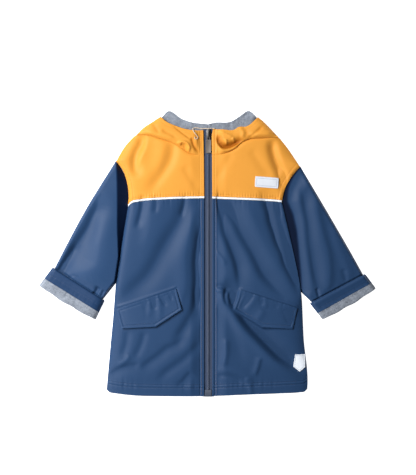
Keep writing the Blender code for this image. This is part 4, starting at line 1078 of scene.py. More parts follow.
def patterned(name, sockets, group, values, depth, strength):
    """A material whose colour and relief come from one shared group, and its roughness if that gives one."""
    material, tree, shader = new_material(name, sockets)
    pattern = place_group(tree, group, values)
    feed(tree, shader, {"Base Color": pattern.outputs["Colour"]})
    if "Roughness" in pattern.outputs:
        feed(tree, shader, {"Roughness": pattern.outputs["Roughness"]})
    bump(tree, shader, pattern.outputs["Height"], depth, strength)
    return material


def jersey(name, pale, dark):
    """Brushed knit of pale and dark fibres."""
    sockets = {"Roughness": 0.9, "Specular IOR Level": 0.08, "Sheen Weight": 0.03, "Sheen Roughness": 0.5}
    values = {"Pale": rgba(pale), "Dark": rgba(dark), "Columns per Metre": 650.0}
    return patterned(name, sockets, "Jersey Knit", values, 0.18, 0.8)


def woven(name, colour, threads, contrast, roughness=0.8, depth=0.08):
    """Woven cloth, tape, thread or cord."""
    sockets = {
        "Roughness": roughness, "Specular IOR Level": 0.3, "Sheen Weight": 0.3, "Sheen Roughness": 0.5,
    }
    values = {"Colour": rgba(colour), "Threads per Metre": threads, "Contrast": contrast}
    return patterned(name, sockets, "Woven Threads", values, depth, 0.7)


def hard(name, colour, dullness, metallic):
    """Metal or moulded plastic with fine scuffs."""
    values = {"Colour": rgba(colour), "Dullness": dullness}
    return patterned(name, {"Metallic": metallic}, "Fine Scuffs", values, 0.02, 0.4)


MATERIALS = {  # how each is made, its colours in the settings, and its other values
    "navy_coated_cloth": (coated, ["navy"], 0.47, (0.95, 0.97, 1.0)),
    "orange_coated_cloth": (coated, ["orange"], 0.48, (1.0, 0.95, 0.85)),
    "knitted_jersey": (jersey, ["jersey_pale", "jersey_dark"]),
    "white_piping": (woven, ["piping"], 1100.0, 0.10, 0.5),
    "woven_zip_tape": (woven, ["zip_tape"], 1500.0, 0.45),
    "moulded_zip_teeth": (hard, ["zip_coil"], 0.35, 0.0),
    "moulded_zip_box": (hard, ["zip_box"], 0.4, 0.0),
    "gunmetal": (hard, ["slider"], 0.38, 0.8),
    "lacquered_tab": (hard, ["pull_tab"], 0.5, 0.35),
    "silver_label_cloth": (woven, ["label"], 1600.0, 0.12, 0.45, 0.04),
    "grey_patch_cloth": (woven, ["patch"], 1600.0, 0.14, 0.55, 0.04),
    "tan_thread": (woven, ["tan_thread"], 5000.0, 0.2),
    "orange_thread": (woven, ["orange_thread"], 5000.0, 0.15),
    "navy_thread": (woven, ["navy_thread"], 5000.0, 0.2),
    "white_thread": (woven, ["white_thread"], 5000.0, 0.1),
    "twisted_cord": (woven, ["cord"], 3000.0, 0.3),
}


def material_of(name):
    """The material of that name, made the first time that a piece asks for it."""
    made = bpy.data.materials.get(name)
    if made:
        return made
    maker, dyes, *values = MATERIALS[name]
    colours = bpy.context.scene.raincoat_colours
    return maker(name, *(getattr(colours, dye) for dye in dyes), *values)


# ---------------------------------------------------------------- settings
def tone(label, value, hint):
    """A colour setting."""
    return FloatVectorProperty(
        name=label, description=hint, subtype="COLOR", size=3, min=0.0, max=1.0, default=value
    )


def millimetres(label, value, low, high, hint):
    """A length setting, in millimetres."""
    return FloatProperty(name=label, description=hint + ", in millimetres", default=value, min=low, max=high)


class RaincoatColours(bpy.types.PropertyGroup):
    """Colours of the coat's cloths, trims and metal."""

    navy: tone("Navy cloth", (0.0173, 0.0475, 0.117), "Coated cloth of the body, sleeves and flaps")
    orange: tone("Orange cloth", (0.66, 0.282, 0.041), "Coated cloth of the yokes and the hood")
    jersey_pale: tone("Jersey, pale fibre", (0.319, 0.353, 0.415), "Light fibres of the lining")
    jersey_dark: tone("Jersey, dark fibre", (0.09, 0.106, 0.133), "Dark fibres of the lining")
    piping: tone("Piping", (0.80, 0.83, 0.87), "Piping under the yokes")
    zip_tape: tone("Zip tape", (0.032, 0.049, 0.096), "Woven tape of the zip")
    zip_coil: tone("Zip coil", (0.060, 0.078, 0.125), "Teeth of the zip")
    zip_box: tone("Zip box", (0.052, 0.066, 0.098), "Moulded box at the zip's lower end")
    slider: tone("Slider", (0.10, 0.095, 0.09), "Metal of the zip's slider")
    pull_tab: tone("Pull tab", (0.155, 0.135, 0.122), "Lacquered metal of the pull tab")
    label: tone("Chest label", (0.62, 0.65, 0.71), "Bare silver cloth of the chest label")
    patch: tone("Hem patch", (0.76, 0.81, 0.88), "Bare cloth of the patch at the hem")
    tan_thread: tone("Tan thread", (0.20, 0.14, 0.10), "Topstitching beside the zip")
    orange_thread: tone("Orange thread", (0.62, 0.25, 0.05), "Topstitching on the yokes")
    navy_thread: tone("Navy thread", (0.022, 0.045, 0.11), "Topstitching on the navy cloth")
    white_thread: tone("White thread", (0.30, 0.35, 0.45), "Border stitching of label and patch")
    cord: tone("Neck cord", (0.62, 0.49, 0.36), "Twisted cord at the neck")


class RaincoatCloth(bpy.types.PropertyGroup):
    """How finely the cloth is meshed and how it is sewn."""

    mesh_step: millimetres("Mesh step", 1.6, 0.8, 6.0, "Distance between a cloth's grid lines")
    stitch_length: millimetres("Stitch", 2.6, 1.0, 6.0, "Length of a topstitch")
    stitch_gap: millimetres("Stitch gap", 0.9, 0.2, 4.0, "Gap between two topstitches")
    thread: millimetres("Thread", 0.5, 0.1, 1.5, "Thickness of the topstitching thread")


class RaincoatZip(bpy.types.PropertyGroup):
    """Sizes of the zip's small parts."""

    tooth_pitch: millimetres("Tooth pitch", 3.8, 1.0, 6.0, "Distance between two teeth of one side")
    metal_bevel: millimetres("Metal bevel", 0.22, 0.05, 0.6, "Rounding of the metal edges")
    tab_recess: millimetres("Tab recess", 0.45, 0.0, 0.6, "Depth of the pull tab's sunk panel")


class RaincoatStage(bpy.types.PropertyGroup):
    """Camera, lights and floor."""

    lens: FloatProperty(
        name="Lens", description="Focal length", default=100.0, min=35.0, max=300.0,
        subtype="DISTANCE_CAMERA",
    )
    view_height: FloatProperty(
        name="View height", description="Length on the floor that the picture's height covers",
        default=0.9025, min=0.2, max=3.0, subtype="DISTANCE", unit="LENGTH",
    )
    key_power: FloatProperty(
        name="Key light", description="Power of the soft light from the upper left", default=41.0, min=0.0,
        subtype="POWER", unit="POWER",
    )
    fill_power: FloatProperty(
        name="Fill light", description="Power of the weaker light from the lower left", default=3.7, min=0.0,
        subtype="POWER", unit="POWER",
    )
    surround: FloatProperty(
        name="Surround", description="Strength of the white surroundings", default=0.12, min=0.0, max=3.0
    )
    floor: tone("Floor", (0.92, 0.92, 0.92), "Colour of the floor")


# ---------------------------------------------------------------- stage
def add_light(name, place, size, power):
    """A white disk light that points at the origin."""
    light = bpy.data.lights.new(name, "AREA")
    light.shape = "DISK"
    light.size = size
    light.energy = power
    obj = bpy.data.objects.new(name, light)
    bpy.context.scene.collection.objects.link(obj)
    obj.location = place
    obj.visible_camera = False
    obj.rotation_euler = (-Vector(place)).to_track_quat("-Z", "Y").to_euler()


PICTURE_MIDDLE = (-0.0006, 0.0304, 0.007)  # in metres, as are the floor's sizes
FLOOR_HALF, FLOOR_SUNK = 3.0, 0.0004


class RAINCOAT_OT_stage(bpy.types.Operator):
    """Adds the floor, the lights and the camera straight above the coat"""

    bl_idname = "raincoat.stage"
    bl_label = "Stage"

    def execute(self, context):
        settings = context.scene.raincoat_stage
        camera = bpy.data.cameras.new("camera")
        camera.lens, camera.sensor_width = settings.lens, 36.0
        eye = bpy.data.objects.new("camera", camera)
        context.scene.collection.objects.link(eye)
        height = settings.view_height * settings.lens / camera.sensor_width
        eye.location = (PICTURE_MIDDLE[0], PICTURE_MIDDLE[1], height + PICTURE_MIDDLE[2])
        camera.clip_start, camera.clip_end = 0.1, 20.0
        context.scene.camera = eye

        mesh = bpy.data.meshes.new("floor")
        corners = [
            (x * FLOOR_HALF, y * FLOOR_HALF, -FLOOR_SUNK) for x, y in ((-1, -1), (1, -1), (1, 1), (-1, 1))
        ]
        mesh.from_pydata(corners, [], [(0, 1, 2, 3)])
        floor = bpy.data.objects.new("floor", mesh)
        context.scene.collection.objects.link(floor)
        material, _, _ = new_material("pale_floor", {
            "Base Color": rgba(settings.floor), "Roughness": 0.9, "Specular IOR Level": 0.1,
            "Emission Color": (1, 1, 1, 1), "Emission Strength": 1.0,
        })
        mesh.materials.append(material)

        add_light("key", (-0.95, 0.55, 1.20), 0.85, settings.key_power)
        add_light("fill", (-0.60, -0.42, 0.60), 0.55, settings.fill_power)
        world = bpy.data.worlds.new("surround")
        world.use_nodes = True
        background = world.node_tree.nodes["Background"]
        background.inputs["Color"].default_value = (1, 1, 1, 1)
        background.inputs["Strength"].default_value = settings.surround
        context.scene.world = world
        context.scene.view_settings.view_transform = "Standard"
        context.scene.view_settings.look = "None"
        return {"FINISHED"}


# ---------------------------------------------------------------- hood
def hood_top(side, plan):
    """Upper face of a hood side: a roll between the neck seam and the rim, which lies on the lining."""
    lines = LINES[side]
    y = plan[..., 1]
    seam, rim = smooth(lines["hood_seam"], even(24)), smooth(lines["rim"], even(20))
    fold_line = smooth(lines["hood_side"], even(8))
    from_seam, from_rim, from_side = (distance_to(line, plan) for line in (seam, rim, fold_line))
    from_zip = np.abs(plan[..., 0]) - abs(lines["zip_x"])
    away = step_up(from_zip, 4, 22)
    seam_top = YOKE_AT_NECK + SEAM_GAP + FRONT_CLOTH
    steep = HOOD_ROLL + ROLL_AT_ZIP * (1 - step_up(from_zip, 20, 50))
    roll = (1 - np.exp(-from_seam / steep)) * (1 - 0.5 * np.exp(-from_rim / 7.0))
    folds = relief(plan, HOOD_FOLDS[side]) * (1 - np.exp(-np.minimum(from_seam, from_rim) / 3.0))
    body = seam_top + (HOOD_RISE - seam_top) * roll + folds
    side_top = LINING_TOP + SEAM_GAP
    body = side_top + (body - side_top) * (1 - np.exp(-(from_side + 0.5) / 5.0))
    bed = hood_bed(side, plan, from_rim)
    top = zip_edge(y) * (1 - away) + np.maximum(body, bed + FRONT_CLOTH) * away
    top = top + welt(from_zip, PLACKET_WELT, 0.7)
    top = top + groove(from_zip - PLACKET_GROOVE[side], 1.0, 0.5) * step_up(from_rim, 0, 3)
    top = top + groove(from_rim - RIM_STITCH, 0.9, 0.35)
    top = top + pucker(plan[..., 0], from_rim, 4.0, 0.3, 2.0) * away
    return np.maximum(top, bed + 0.8 * FRONT_CLOTH)


def hood_bed(side, plan, from_rim):
    """Lowest place of a hood side: on the tape, on the lining at the rim, or on the hidden layers."""
    bed = FOLDED_HOOD + SEAM_GAP
    bed = bed + (LINING_TOP + RIM_OVER_LINING - bed) * (1 - step_up(from_rim, 10.0, 18.0))
    from_seam = distance_to(smooth(LINES[side]["hood_seam"], even(24)), plan)
    bed = np.maximum(bed, (YOKE_AT_NECK + SEAM_GAP) * (1 - step_up(from_seam, 2.0, 6.0)))
    on_tape = np.abs(plan[..., 0]) < TAPE_HALF + 8
    return np.where(on_tape, np.maximum(bed, zip_edge(plan[..., 1]) - FRONT_CLOTH), bed)


class RAINCOAT_OT_hood(bpy.types.Operator):
    """Makes the folded hood: hidden layers, the two lining halves and the two orange sides"""

    bl_idname = "raincoat.hood"
    bl_label = "Hood"

    def execute(self, context):
        grey = material_of("knitted_jersey")
        u, v = crowded(300, 3.0), crowded(60, 3.0)
        plan = strip(smooth(NECK, u), smooth(HOOD_BACK, u), u, v)
        inset = to_border(plan)
        layers = 0.5 * (1 - np.cos(np.clip(inset / 5.0, 0, 3) * 2 * math.pi)) * 0.35
        top = FOLDED_HOOD - 2.2 * np.exp(-inset / 3.0) - layers * np.exp(-inset / 8)
        top = top + 3.0 * step_up(v, 0.72, 1.0)[:, None]
        obj = shell("hood_hidden_layers", plan, top, FOLDED_HOOD, 0.0, grey)
        settle(obj, "hood_fold")

        stitch_runs = []
        for side in SIDES:
            lines = LINES[side]
            u, v = crowded(110, 1.3), crowded(25, 1.3)
            plan = strip(smooth(lines["lining_low"], u), smooth(lines["lining_top"], u), u, v)
            crest = relief(plan, LINING_FOLDS[side])
            top = LINING_TOP + LINING_LIFT * v[:, None] ** 1.5 + crest * (0.35 + 0.65 * v[:, None])
            top = top + groove(plan[..., 0], 2.2, 0.8)
            top = top + pucker(plan[..., 0], 250 - plan[..., 1], 14.0, 0.35, 1.3)
            top = np.maximum(top, FOLDED_HOOD + SEAM_GAP + 0.6 * LINING_CLOTH)
            obj = shell(
                f"hood_lining_{side}_half", plan, top, LINING_CLOTH, FOLDED_HOOD + SEAM_GAP, grey, crest / 2
            )
            settle(obj, f"hood_lining_{side}")

            u, v = crowded(145, 1.1, (14.0, 0.6)), crowded(47, 0.9)
            seam, rim = smooth(lines["hood_seam"], u), smooth(lines["rim"], u)
            plan = patch(seam, rim, smooth(lines["hood_zip"], v), smooth(lines["hood_side"], v), u, v)
            top = hood_top(side, plan)
            bed = hood_bed(side, plan, distance_to(rim, plan))
            folds = relief(plan, HOOD_FOLDS[side])
            # its folds give painted light, and its troughs painted shade through the shade mark
            obj = shell(
                f"hood_{side}_side", plan, top, FRONT_CLOTH, bed, material_of("orange_coated_cloth"),
                folds / 4, np.clip(-folds / 14, 0, 0.45),
            )
            settle(obj, f"hood_{side}")
            zip_line = smooth(lines["hood_zip"], np.linspace(0.04, 0.93, 30))
            zip_line = zip_line + np.array([SIDES[side] * STITCH_IN[side], 0.0])
            stitch_runs.append(laid(zip_line, lambda p, s=side: hood_top(s, p)))
        sew("hood_topstitching", stitch_runs, "orange_thread")
        return {"FINISHED"}


# ---------------------------------------------------------------- body
def front_grid(side, part, step):
    """Plan grid of a lower front or of a yoke, between the zip, the outer edge and the seams."""
    lines = LINES[side]
    clear = PIPING_HALF + SEAM_GAP
    if part == "body":
        u = crowded(178, step, (15.0, 0.6), (8.0, 1.2))
        v = crowded(370, step * 1.15, (26.0, 0.7), (10.0, 0.9))
        low = smooth(lines["hem"], u)
        high = smooth(lines["piping"], u) - np.array([0.0, clear])
        outer = smooth(lines["side"], v)
        outer = outer + (high[-1] - outer[-1]) * v[:, None] ** 6
        inner = smooth([(lines["zip_x"], lines["hem"][0][1]), tuple(high[0])], v)
    else:
        u = crowded(180, min(step, 1.25), (15.0, 0.6), (12.0, 0.9))
        v = crowded(110, step, (8.0, 0.7), (6.0, 1.0))
        low = smooth(lines["piping"], u) + np.array([0.0, clear])
        neck = lines["hood_seam"][:-1] + lines["shoulder"]
        high = smooth(neck, u)
        covered = 1 - step_up(np.abs(high[:, 0]), abs(neck[-1][0]) - 45, abs(lines["hood_seam"][-1][0]) - 2)
        high = high + np.column_stack([0 * u, 1.3 * covered - 0.5])
        outer = smooth([tuple(low[-1])] + lines["armhole"][1:-1] + [tuple(high[-1])], v)
        inner = smooth([tuple(low[0]), tuple(high[0])], v)
    return patch(low, high, inner, outer, u, v)


class RAINCOAT_OT_fronts(bpy.types.Operator):
    """Makes the two lower fronts, the two yokes and the piping between them"""

    bl_idname = "raincoat.fronts"
    bl_label = "Fronts and Yokes"

    def execute(self, context):
        cloth = context.scene.raincoat_cloth
        for side in SIDES:
            for part, dye in (("body", "navy"), ("yoke", "orange")):
                plan = front_grid(side, part, cloth.mesh_step)
                top = front_top(side, plan)
                lowest = front_edge(side, plan[..., 1]) - FRONT_CLOTH
                crest = relief(plan, FRONT_FOLDS[side]) / 4
                obj = shell(
                    f"{part}_front_{side}", plan, top, FRONT_CLOTH, lowest,
                    material_of(f"{dye}_coated_cloth"), crest,
                )
                settle(obj, f"front_{part}_{side}")
            self.make_piping(side, cloth.mesh_step)
        return {"FINISHED"}

    def make_piping(self, side, step):
        """A bead along the yoke seam: half a circle across, with a sewn-down flange under each side."""
        line = smooth(LINES[side]["piping"], crowded(148, step))
        across = np.linspace(-1, 1, 15)[:, None]
        plan = line[None] + np.dstack([0 * across, across * (PIPING_HALF + 0.15)])
        level = front_top(side, line, fine=False)[None] + 0 * across
        bead = PIPING_BEAD * np.sqrt(np.maximum(1 - across**2, 0))
        top = level - 0.9 + bead + pucker(line[:, 0], 0.0, 5.0, 0.06, 5.0)[None]
        obj = shell(f"piping_cord_{side}", plan, top, 1.6, level - 2.6, material_of("white_piping"))
        settle(obj, f"piping_{side}")


class RAINCOAT_OT_back(bpy.types.Operator):
    """Makes the back and the back yoke, flat on the surface with soft creases that lift off it"""

    bl_idname = "raincoat.back"
    bl_label = "Back"

    def execute(self, context):
        right, left = self.edges("right"), self.edges("left")
        for key, (name, node_name, dye, length) in enumerate((
            ("back_panel", "back_body", "navy", 330), ("back_yoke_panel", "back_yoke", "orange", 110),
        )):
            low, high, start, end = self.lines(key, right, left)
            u, v = crowded(380, 4.0), crowded(length, 4.0)
            plan = patch(smooth(low, u), smooth(high, u), smooth(start[key], v), smooth(end[key], v), u, v)
            crease = np.maximum(relief(plan, BACK_FOLDS), 0) * step_up(to_border(plan), 2, 26)
            obj = shell(
                name, plan, BACK_CLOTH + crease, BACK_CLOTH, 0.0, material_of(f"{dye}_coated_cloth"),
                crease / 3,
            )
            settle(obj, node_name)
        return {"FINISHED"}

    def edges(self, side):
        """Outer edge of the back below its yoke seam and above it, inside the sleeve's edge."""
        lines, inward = LINES[side], -SIDES[side]
        leaves = np.array(lines["side"][SIDE_AT_SLEEVE]) + np.array([inward * 1.8, -3.0])
        underarm = np.array(lines["underarm"]) + np.array([inward * 1.8, -0.4])
        arm_x = lines["armhole"][0][0] + inward * 1.2
        low = joined(
            smooth(lines["side"][:SIDE_AT_SLEEVE] + [tuple(leaves)], even(24)),
            smooth([tuple(leaves), tuple(underarm)], even(8)),
            smooth([tuple(underarm), (arm_x, BACK_SEAM_Y - 0.15)], even(8)),
        )
        high = [(arm_x, BACK_SEAM_Y + 0.15)] + [(x + inward * 1.2, y) for x, y in lines["armhole"][1:]]
        return low, np.array(high)

    def lines(self, key, right, left):
        """Lower, upper, right and left edge line, below the yoke seam where the key is 0 and above it
        where it is 1."""
        if key == 0:
            hem = joined(
                smooth(LINES["right"]["hem"][::-1], even(20)), smooth(LINES["left"]["hem"], even(20))
            )
            return hem, [right[0][-1], left[0][-1]], right, left
        neck = joined(
            smooth(LINES["right"]["shoulder"][::-1], even(8)), smooth(NECK, even(30)),
            smooth(LINES["left"]["shoulder"], even(8)),
        )
        neck = neck - np.array([0.0, 0.6])
        neck[0], neck[-1] = right[1][-1], left[1][-1]
        return [right[1][0], left[1][0]], neck, right, left


# ---------------------------------------------------------------- sleeves
def cuff_frame(side):
    """A turn-up's lower edge, the line where its facing and its lining meet, and its fold."""
    hem = np.array(LINES[side]["cuff"], float)
    fold = np.array(LINES[side]["cuff_fold"], float)
    share = CUFF_FACING / (CUFF_FACING + CUFF_LINING)
    return hem, hem + (fold - hem) * share, fold


def cuff_top(lens):
    """Upper face of a turn-up: its edge's height, and its rise times its roundness there."""
    return CUFF_EDGE + (CUFF_RISE - CUFF_EDGE) * lens


def past_body(side, plan):
    """Distance of a sleeve point from the edge of the front that covers the sleeve's root, or 0 under it."""
    lines = LINES[side]
    edge = joined(smooth(lines["side"][SIDE_AT_SLEEVE:], even(8)), smooth(lines["armhole"], even(8)))
    order = np.argsort(edge[:, 1])
    limit = np.interp(plan[..., 1], edge[order, 1], edge[order, 0])
    return distance_to(edge, plan) * (SIDES[side] * (plan[..., 0] - limit) > 0)


def lee_of_body(side, plan):
    """A sleeve's height beside the body, as a share of its full height, and how much painted shade it
    gets in the body's lee, from 0 to 1. The right sleeve slopes straight from a crease down to the body's
    edge. The left one lies low along the body, then climbs."""
    past = past_body(side, plan)
    if side == "right":
        crease, _ = beside(smooth(SLEEVE_DROP, even(24)), plan)
        inner = np.maximum(crease, 0)
        share = past / (past + inner + 0.01)
        painted_shade = np.maximum(step_up(crease, -1.5, 3.0), 0.8 * np.exp(-past / 1.6))
        return share * step_up(past, 0.0, 3.0), painted_shade
    ys, dark, low = np.array(LEE, float).T
    dark, low = np.interp(plan[..., 1], ys, dark), np.interp(plan[..., 1], ys, low)
    return 0.35 + 0.65 * step_up(past, low - 3, low + 20), 1 - step_up(past, dark - 4, dark + 3)


def crowned(column, first, last):
    """A tube's roundness across: a quarter ellipse over a share of the width beside each crease, and level
    between them."""
    inward = 1 - np.clip(np.minimum(column / first, (1 - column) / last), 0, 1)
    return np.sqrt(np.maximum(1 - inward**2, 0))


def into_cuff(side, plan):
    """Distance past the upper edge of a turn-up, negative on the sleeve above it."""
    hem, _, fold = cuff_frame(side)
    across = unit(hem[1] - hem[0])
    inward = np.array([-across[1], across[0]])
    return (plan - hem[0]) @ (inward * np.sign((fold[0] - hem[0]) @ inward))


def sleeve_top(side, plan, lens, folds):
    """Upper face of a sleeve: full between its creases, low beside the body, and pinched where it goes
    into its turn-up, with a crevice along that edge."""
    into = into_cuff(side, plan)
    rise, _ = lee_of_body(side, plan)
    top = TUBE_EDGE + (SLEEVE_RISE[side] - TUBE_EDGE) * lens * (0.05 + 0.95 * rise)
    near = step_up(into, *PINCH)
    inside = cuff_top(lens) - CUFF_CLOTH - SEAM_GAP
    top = top * (1 - near) + np.minimum(top, inside) * near
    ridges = np.maximum(folds, 0) * (1 - step_up(into, -14.0, -3.0))
    troughs = np.minimum(folds, 0) * (1 - step_up(into, 1.0, 9.0))
    top = top + (ridges + troughs) * rise * lens
    return top + groove(into + 1.0, 1.6, CREVICE * lens)


class RAINCOAT_OT_sleeves(bpy.types.Operator):
    """Makes the sleeves as flattened tubes, and their turned-up ends with the grey lining"""

    bl_idname = "raincoat.sleeves"
    bl_label = "Sleeves and Turn-ups"

    def execute(self, context):
        step = context.scene.raincoat_cloth.mesh_step
        runs = []
        for side in SIDES:
            self.make_sleeve(side, step)
            runs.append(self.make_cuff(side, step))
        sew("turn_up_topstitching", runs, "navy_thread")
        return {"FINISHED"}

    def make_sleeve(self, side, step):
        """A sleeve from its armhole to inside its turn-up."""
        lines = LINES[side]
        hem, _, fold = cuff_frame(side)
        across = unit(hem[1] - hem[0])
        mouth = hem + np.stack([across, -across]) * CUFF_CLEAR
        end = mouth + unit(fold - hem) * SLEEVE_IN_CUFF
        v, u = (np.linspace(0, 1, int(size / step)) for size in (SLEEVE_LONG, SLEEVE_WIDE))
        outer = joined(smooth(lines["sleeve_out"] + [tuple(mouth[0])], even(40)), end[:1])
        leaves = lines["side"][SIDE_AT_SLEEVE]
        inner = np.array([lines["underarm"], leaves, tuple(mouth[1]), tuple(end[1])])
        armhole = np.vstack([smooth(lines["armhole"][::-1], even(20)), lines["underarm"]])
        armhole = armhole + np.array([SIDES[side] * 0.3, 0.0])
        outer, inner, armhole = (at_shares(line, s) for line, s in ((outer, v), (inner, v), (armhole, u)))
        armhole[0], armhole[-1] = outer[0], inner[0]
        plan = patch(armhole, at_shares(end, u), outer, inner, u, v)
        folds = relief(plan, SLEEVE_FOLDS[side])
        top = sleeve_top(side, plan, crowned(u[None], SLEEVE_CREASE, SLEEVE_CREASE), folds)
        # painted shade on a sleeve where it lies tucked beside the body, fading out before its turn-up
        shade = PAINTED_SHADE_DEPTH[side] * lee_of_body(side, plan)[1] * (1 - step_up(into_cuff(side, plan), -30.0, -8.0))
        lift = (CUFF_CLOTH + SEAM_GAP + 0.1) * step_up(v[:, None], *ON_TURN_UP) + np.zeros_like(top)
        top = np.maximum(top, lift + TUBE_EDGE)
        obj = tube(
            f"sleeve_tube_{side}", plan, top, lift, SLEEVE_CLOTH, material_of("navy_coated_cloth"), folds / 4,
            shade,
        )
        settle(obj, f"sleeve_{side}")

    def make_cuff(self, side, step):
        """The turn-up's navy facing and grey lining; returns the line of the facing's stitches."""
        hem, join, fold = cuff_frame(side)
        start = join + unit(fold - hem) * SEAM_GAP
        for name, near, far, cloth, dye, slot in (
            ("facing", hem, join, CUFF_CLOTH, "navy_coated_cloth", "navy_cloth"),
            ("lining", start, fold, FOLD_WALL, "knitted_jersey", "grey_jersey"),
        ):
            length = np.linalg.norm(far[0] - near[0])
            v = crowded(length, step)
            u = np.linspace(0, 1, int(CUFF_WIDE / step))
            plan = strip(at_shares(near, u), at_shares(far, u), u, v)
            lens = crowned(u[None], 0.06, CUFF_SLOPE[side])
            top = cuff_top(lens) + np.zeros(plan.shape[:2])
            away = v[:, None] * length
            if name == "facing":
                top = top + 0.45 * lens * np.sin(u[None] * 9.0 + 0.6)
                top = top + pucker(u * CUFF_WIDE, away - 20, 6.0, 0.25, 1.0)
                top = top + ridge(away - 4.5, 4.0, 0.9 * lens)
                top = top - rounding(away, 2.2) + groove(away - CUFF_STITCH, 1.0, 0.7)
                top = top + groove(away - CUFF_STITCH - 2.8, 0.9, 0.5)
                top = top + pucker(u * CUFF_WIDE, away - CUFF_STITCH, 5.0, 0.3, 3.0)
            else:
                top = top - rounding(length - away, 1.4) + groove(away - 3.4, 0.9, 0.5)
                top = top + pucker(u * CUFF_WIDE, away - 3.0, 9.0, 0.6, 2.0)
                wavy = 2.4 * np.sin(math.pi * u) + 0.9 * np.sin(math.pi * u) * np.sin(17 * u + 1)
                plan = plan + unit(fold[0] - hem[0]) * (wavy * v[:, None])[..., None]
            shade = FACING_SHADE[side] if name == "facing" else 0.0
            obj = tube(
                f"turn_up_{name}_{side}", plan, top, np.zeros_like(top), cloth, material_of(dye), shade=shade
            )
            settle(obj, f"cuff_{name}_{side}")
            if name == "facing":
                row = int(np.argmin(np.abs(v * length - CUFF_STITCH)))
                sewn = upright(np.dstack([plan, top])[row, 2:-2])
        return sewn


# ---------------------------------------------------------------- zip
class RAINCOAT_OT_zip(bpy.types.Operator):
    """Makes the zip: woven tapes, interlocked teeth, box, slider and pull tab"""

    bl_idname = "raincoat.zip"
    bl_label = "Zip"

    def execute(self, context):
        settings = context.scene.raincoat_zip
        for side, sign in SIDES.items():
            width = TAPE_HALF - TAPE_GAP
            u, v = crowded(width, 0.9), crowded(510, 6.0)
            xs = sign * (TAPE_GAP + u * width)
            ys = ZIP_BOTTOM + v * (ZIP_TOP - ZIP_BOTTOM)
            plan = np.dstack(np.meshgrid(xs, ys))
            x = np.abs(plan[..., 0])
            top = tape_under(plan[..., 1]) + TAPE_CLOTH + groove(x - 4.4, 0.5, 0.25) - 0.15 * (x > 6.6)
            obj = shell(
                f"zip_tape_{side}_half", plan, top, TAPE_CLOTH, tape_under(plan[..., 1]),
                material_of("woven_zip_tape"),
            )
            settle(obj, f"zip_tape_{side}")
        self.make_teeth(settings.tooth_pitch)
        bevel = settings.metal_bevel
        for node_name, name, width, material, slot, body, recess in (
            ("zip_box", "zip_end_box", bevel * 1.5, "moulded_zip_box", "zip_box", COAT, 0.0),
            ("zip_slider", "zip_slider_body", bevel, "gunmetal", "zip_metal", COAT, 0.0),
            ("zip_pull_tab", "zip_tab_plate", bevel, "lacquered_tab", "tab_metal", PULL_TAB,
             settings.tab_recess),
        ):
            obj = softened(node_name, name, width, material_of(material), recess)
            settle(obj, node_name, body=body)
        return {"FINISHED"}

    def make_teeth(self, pitch):
        """Teeth of both sides, one mesh: each is a rounded bar across its side of the chain, and the two
        sides' bars take turns along y."""
        ys = np.arange(ZIP_BOTTOM + BOX_LENGTH + 1.2, ZIP_TOP - 1.5, pitch / 2)
        sign = np.where(np.arange(len(ys)) % 2, 1.0, -1.0)
        around = 8
        ring = np.arange(around) * 2 * math.pi / around
        along = np.array([-1.0, -0.82, 0.4, 0.85, 1.0])
        wide = np.array([0.35, 0.85, 1.0, 0.9, 0.4])
        size = len(along) * around
        reach, centre = 1.55, 0.95
        x = sign[:, None, None] * (centre - reach * along[None, :, None]) + 0 * ring
        half = 0.20 * pitch
        y = ys[:, None, None] + half * wide[None, :, None] * np.cos(ring)
        base = tape_under(ys)[:, None, None] + TAPE_CLOTH + CHAIN_BASE + 0.55
        z = base + 0.62 * wide[None, :, None] * np.sin(ring)
        points = np.stack(np.broadcast_arrays(x, y, z), axis=-1).reshape(-1, 3)
        face = grid_faces(len(along), around, closed=True)
        caps = np.array([[0, 1, 2, 3], [0, 3, 4, 7], [4, 5, 6, 7]])
        face = np.concatenate([face, caps[:, ::-1], caps + size - around])
        faces = face[None] + (np.arange(len(ys)) * size)[:, None, None]
        faces = np.where((sign < 0)[:, None, None], faces, faces[:, :, ::-1]).reshape(-1, 4)
        bed_y = crowded(497, 8.0)
        ys = ZIP_BOTTOM + BOX_LENGTH + 0.4 + bed_y * (ZIP_TOP - 1.0 - ZIP_BOTTOM - BOX_LENGTH)
        plan = np.dstack(np.meshgrid(np.linspace(-2.35, 2.35, 9), ys))
        bed = shell(
            "zip_chain_bed", plan, tape_under(plan[..., 1]) + TAPE_CLOTH + 0.55, 0.5,
            tape_under(plan[..., 1]) + TAPE_CLOTH + 0.05, material_of("woven_zip_tape"),
        )
        teeth = add_mesh("zip_teeth", points, faces, material_of("moulded_zip_teeth"))
        settle(teeth, "zip_chain")
        trim(bed)


def softened(node_name, name, bevel, material, recess):
    """A CAD solid with its edges rounded, and a sunk panel in its widest level faces if asked for."""
    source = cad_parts[node_name]
    work = bmesh.new()
    work.from_mesh(source.data)
    bmesh.ops.remove_doubles(work, verts=work.verts, dist=1e-6)
    bmesh.ops.dissolve_limit(work, angle_limit=math.radians(2), verts=work.verts, edges=work.edges)
    if recess:
        for sign in (1, -1):
            level = [face for face in work.faces if face.normal.z * sign > 0.95]
            panel = max(level, key=lambda face: face.calc_area())
            bmesh.ops.inset_region(work, faces=[panel], thickness=1.3 * MM)
            for point in panel.verts:
                point.co.z -= sign * recess * MM
    mesh = bpy.data.meshes.new(name)
    work.to_mesh(mesh)
    work.free()
    mesh.materials.clear()
    mesh.materials.append(material)
    mesh.shade_smooth()
    obj = bpy.data.objects.new(name, mesh)
    bpy.context.scene.collection.objects.link(obj)
    rounded = obj.modifiers.new("rounded edges", "BEVEL")
    rounded.width = bevel * MM
    rounded.segments = 2
    rounded.limit_method = "ANGLE"
    rounded.angle_limit = math.radians(25)
    rounded.harden_normals = True
    return obj


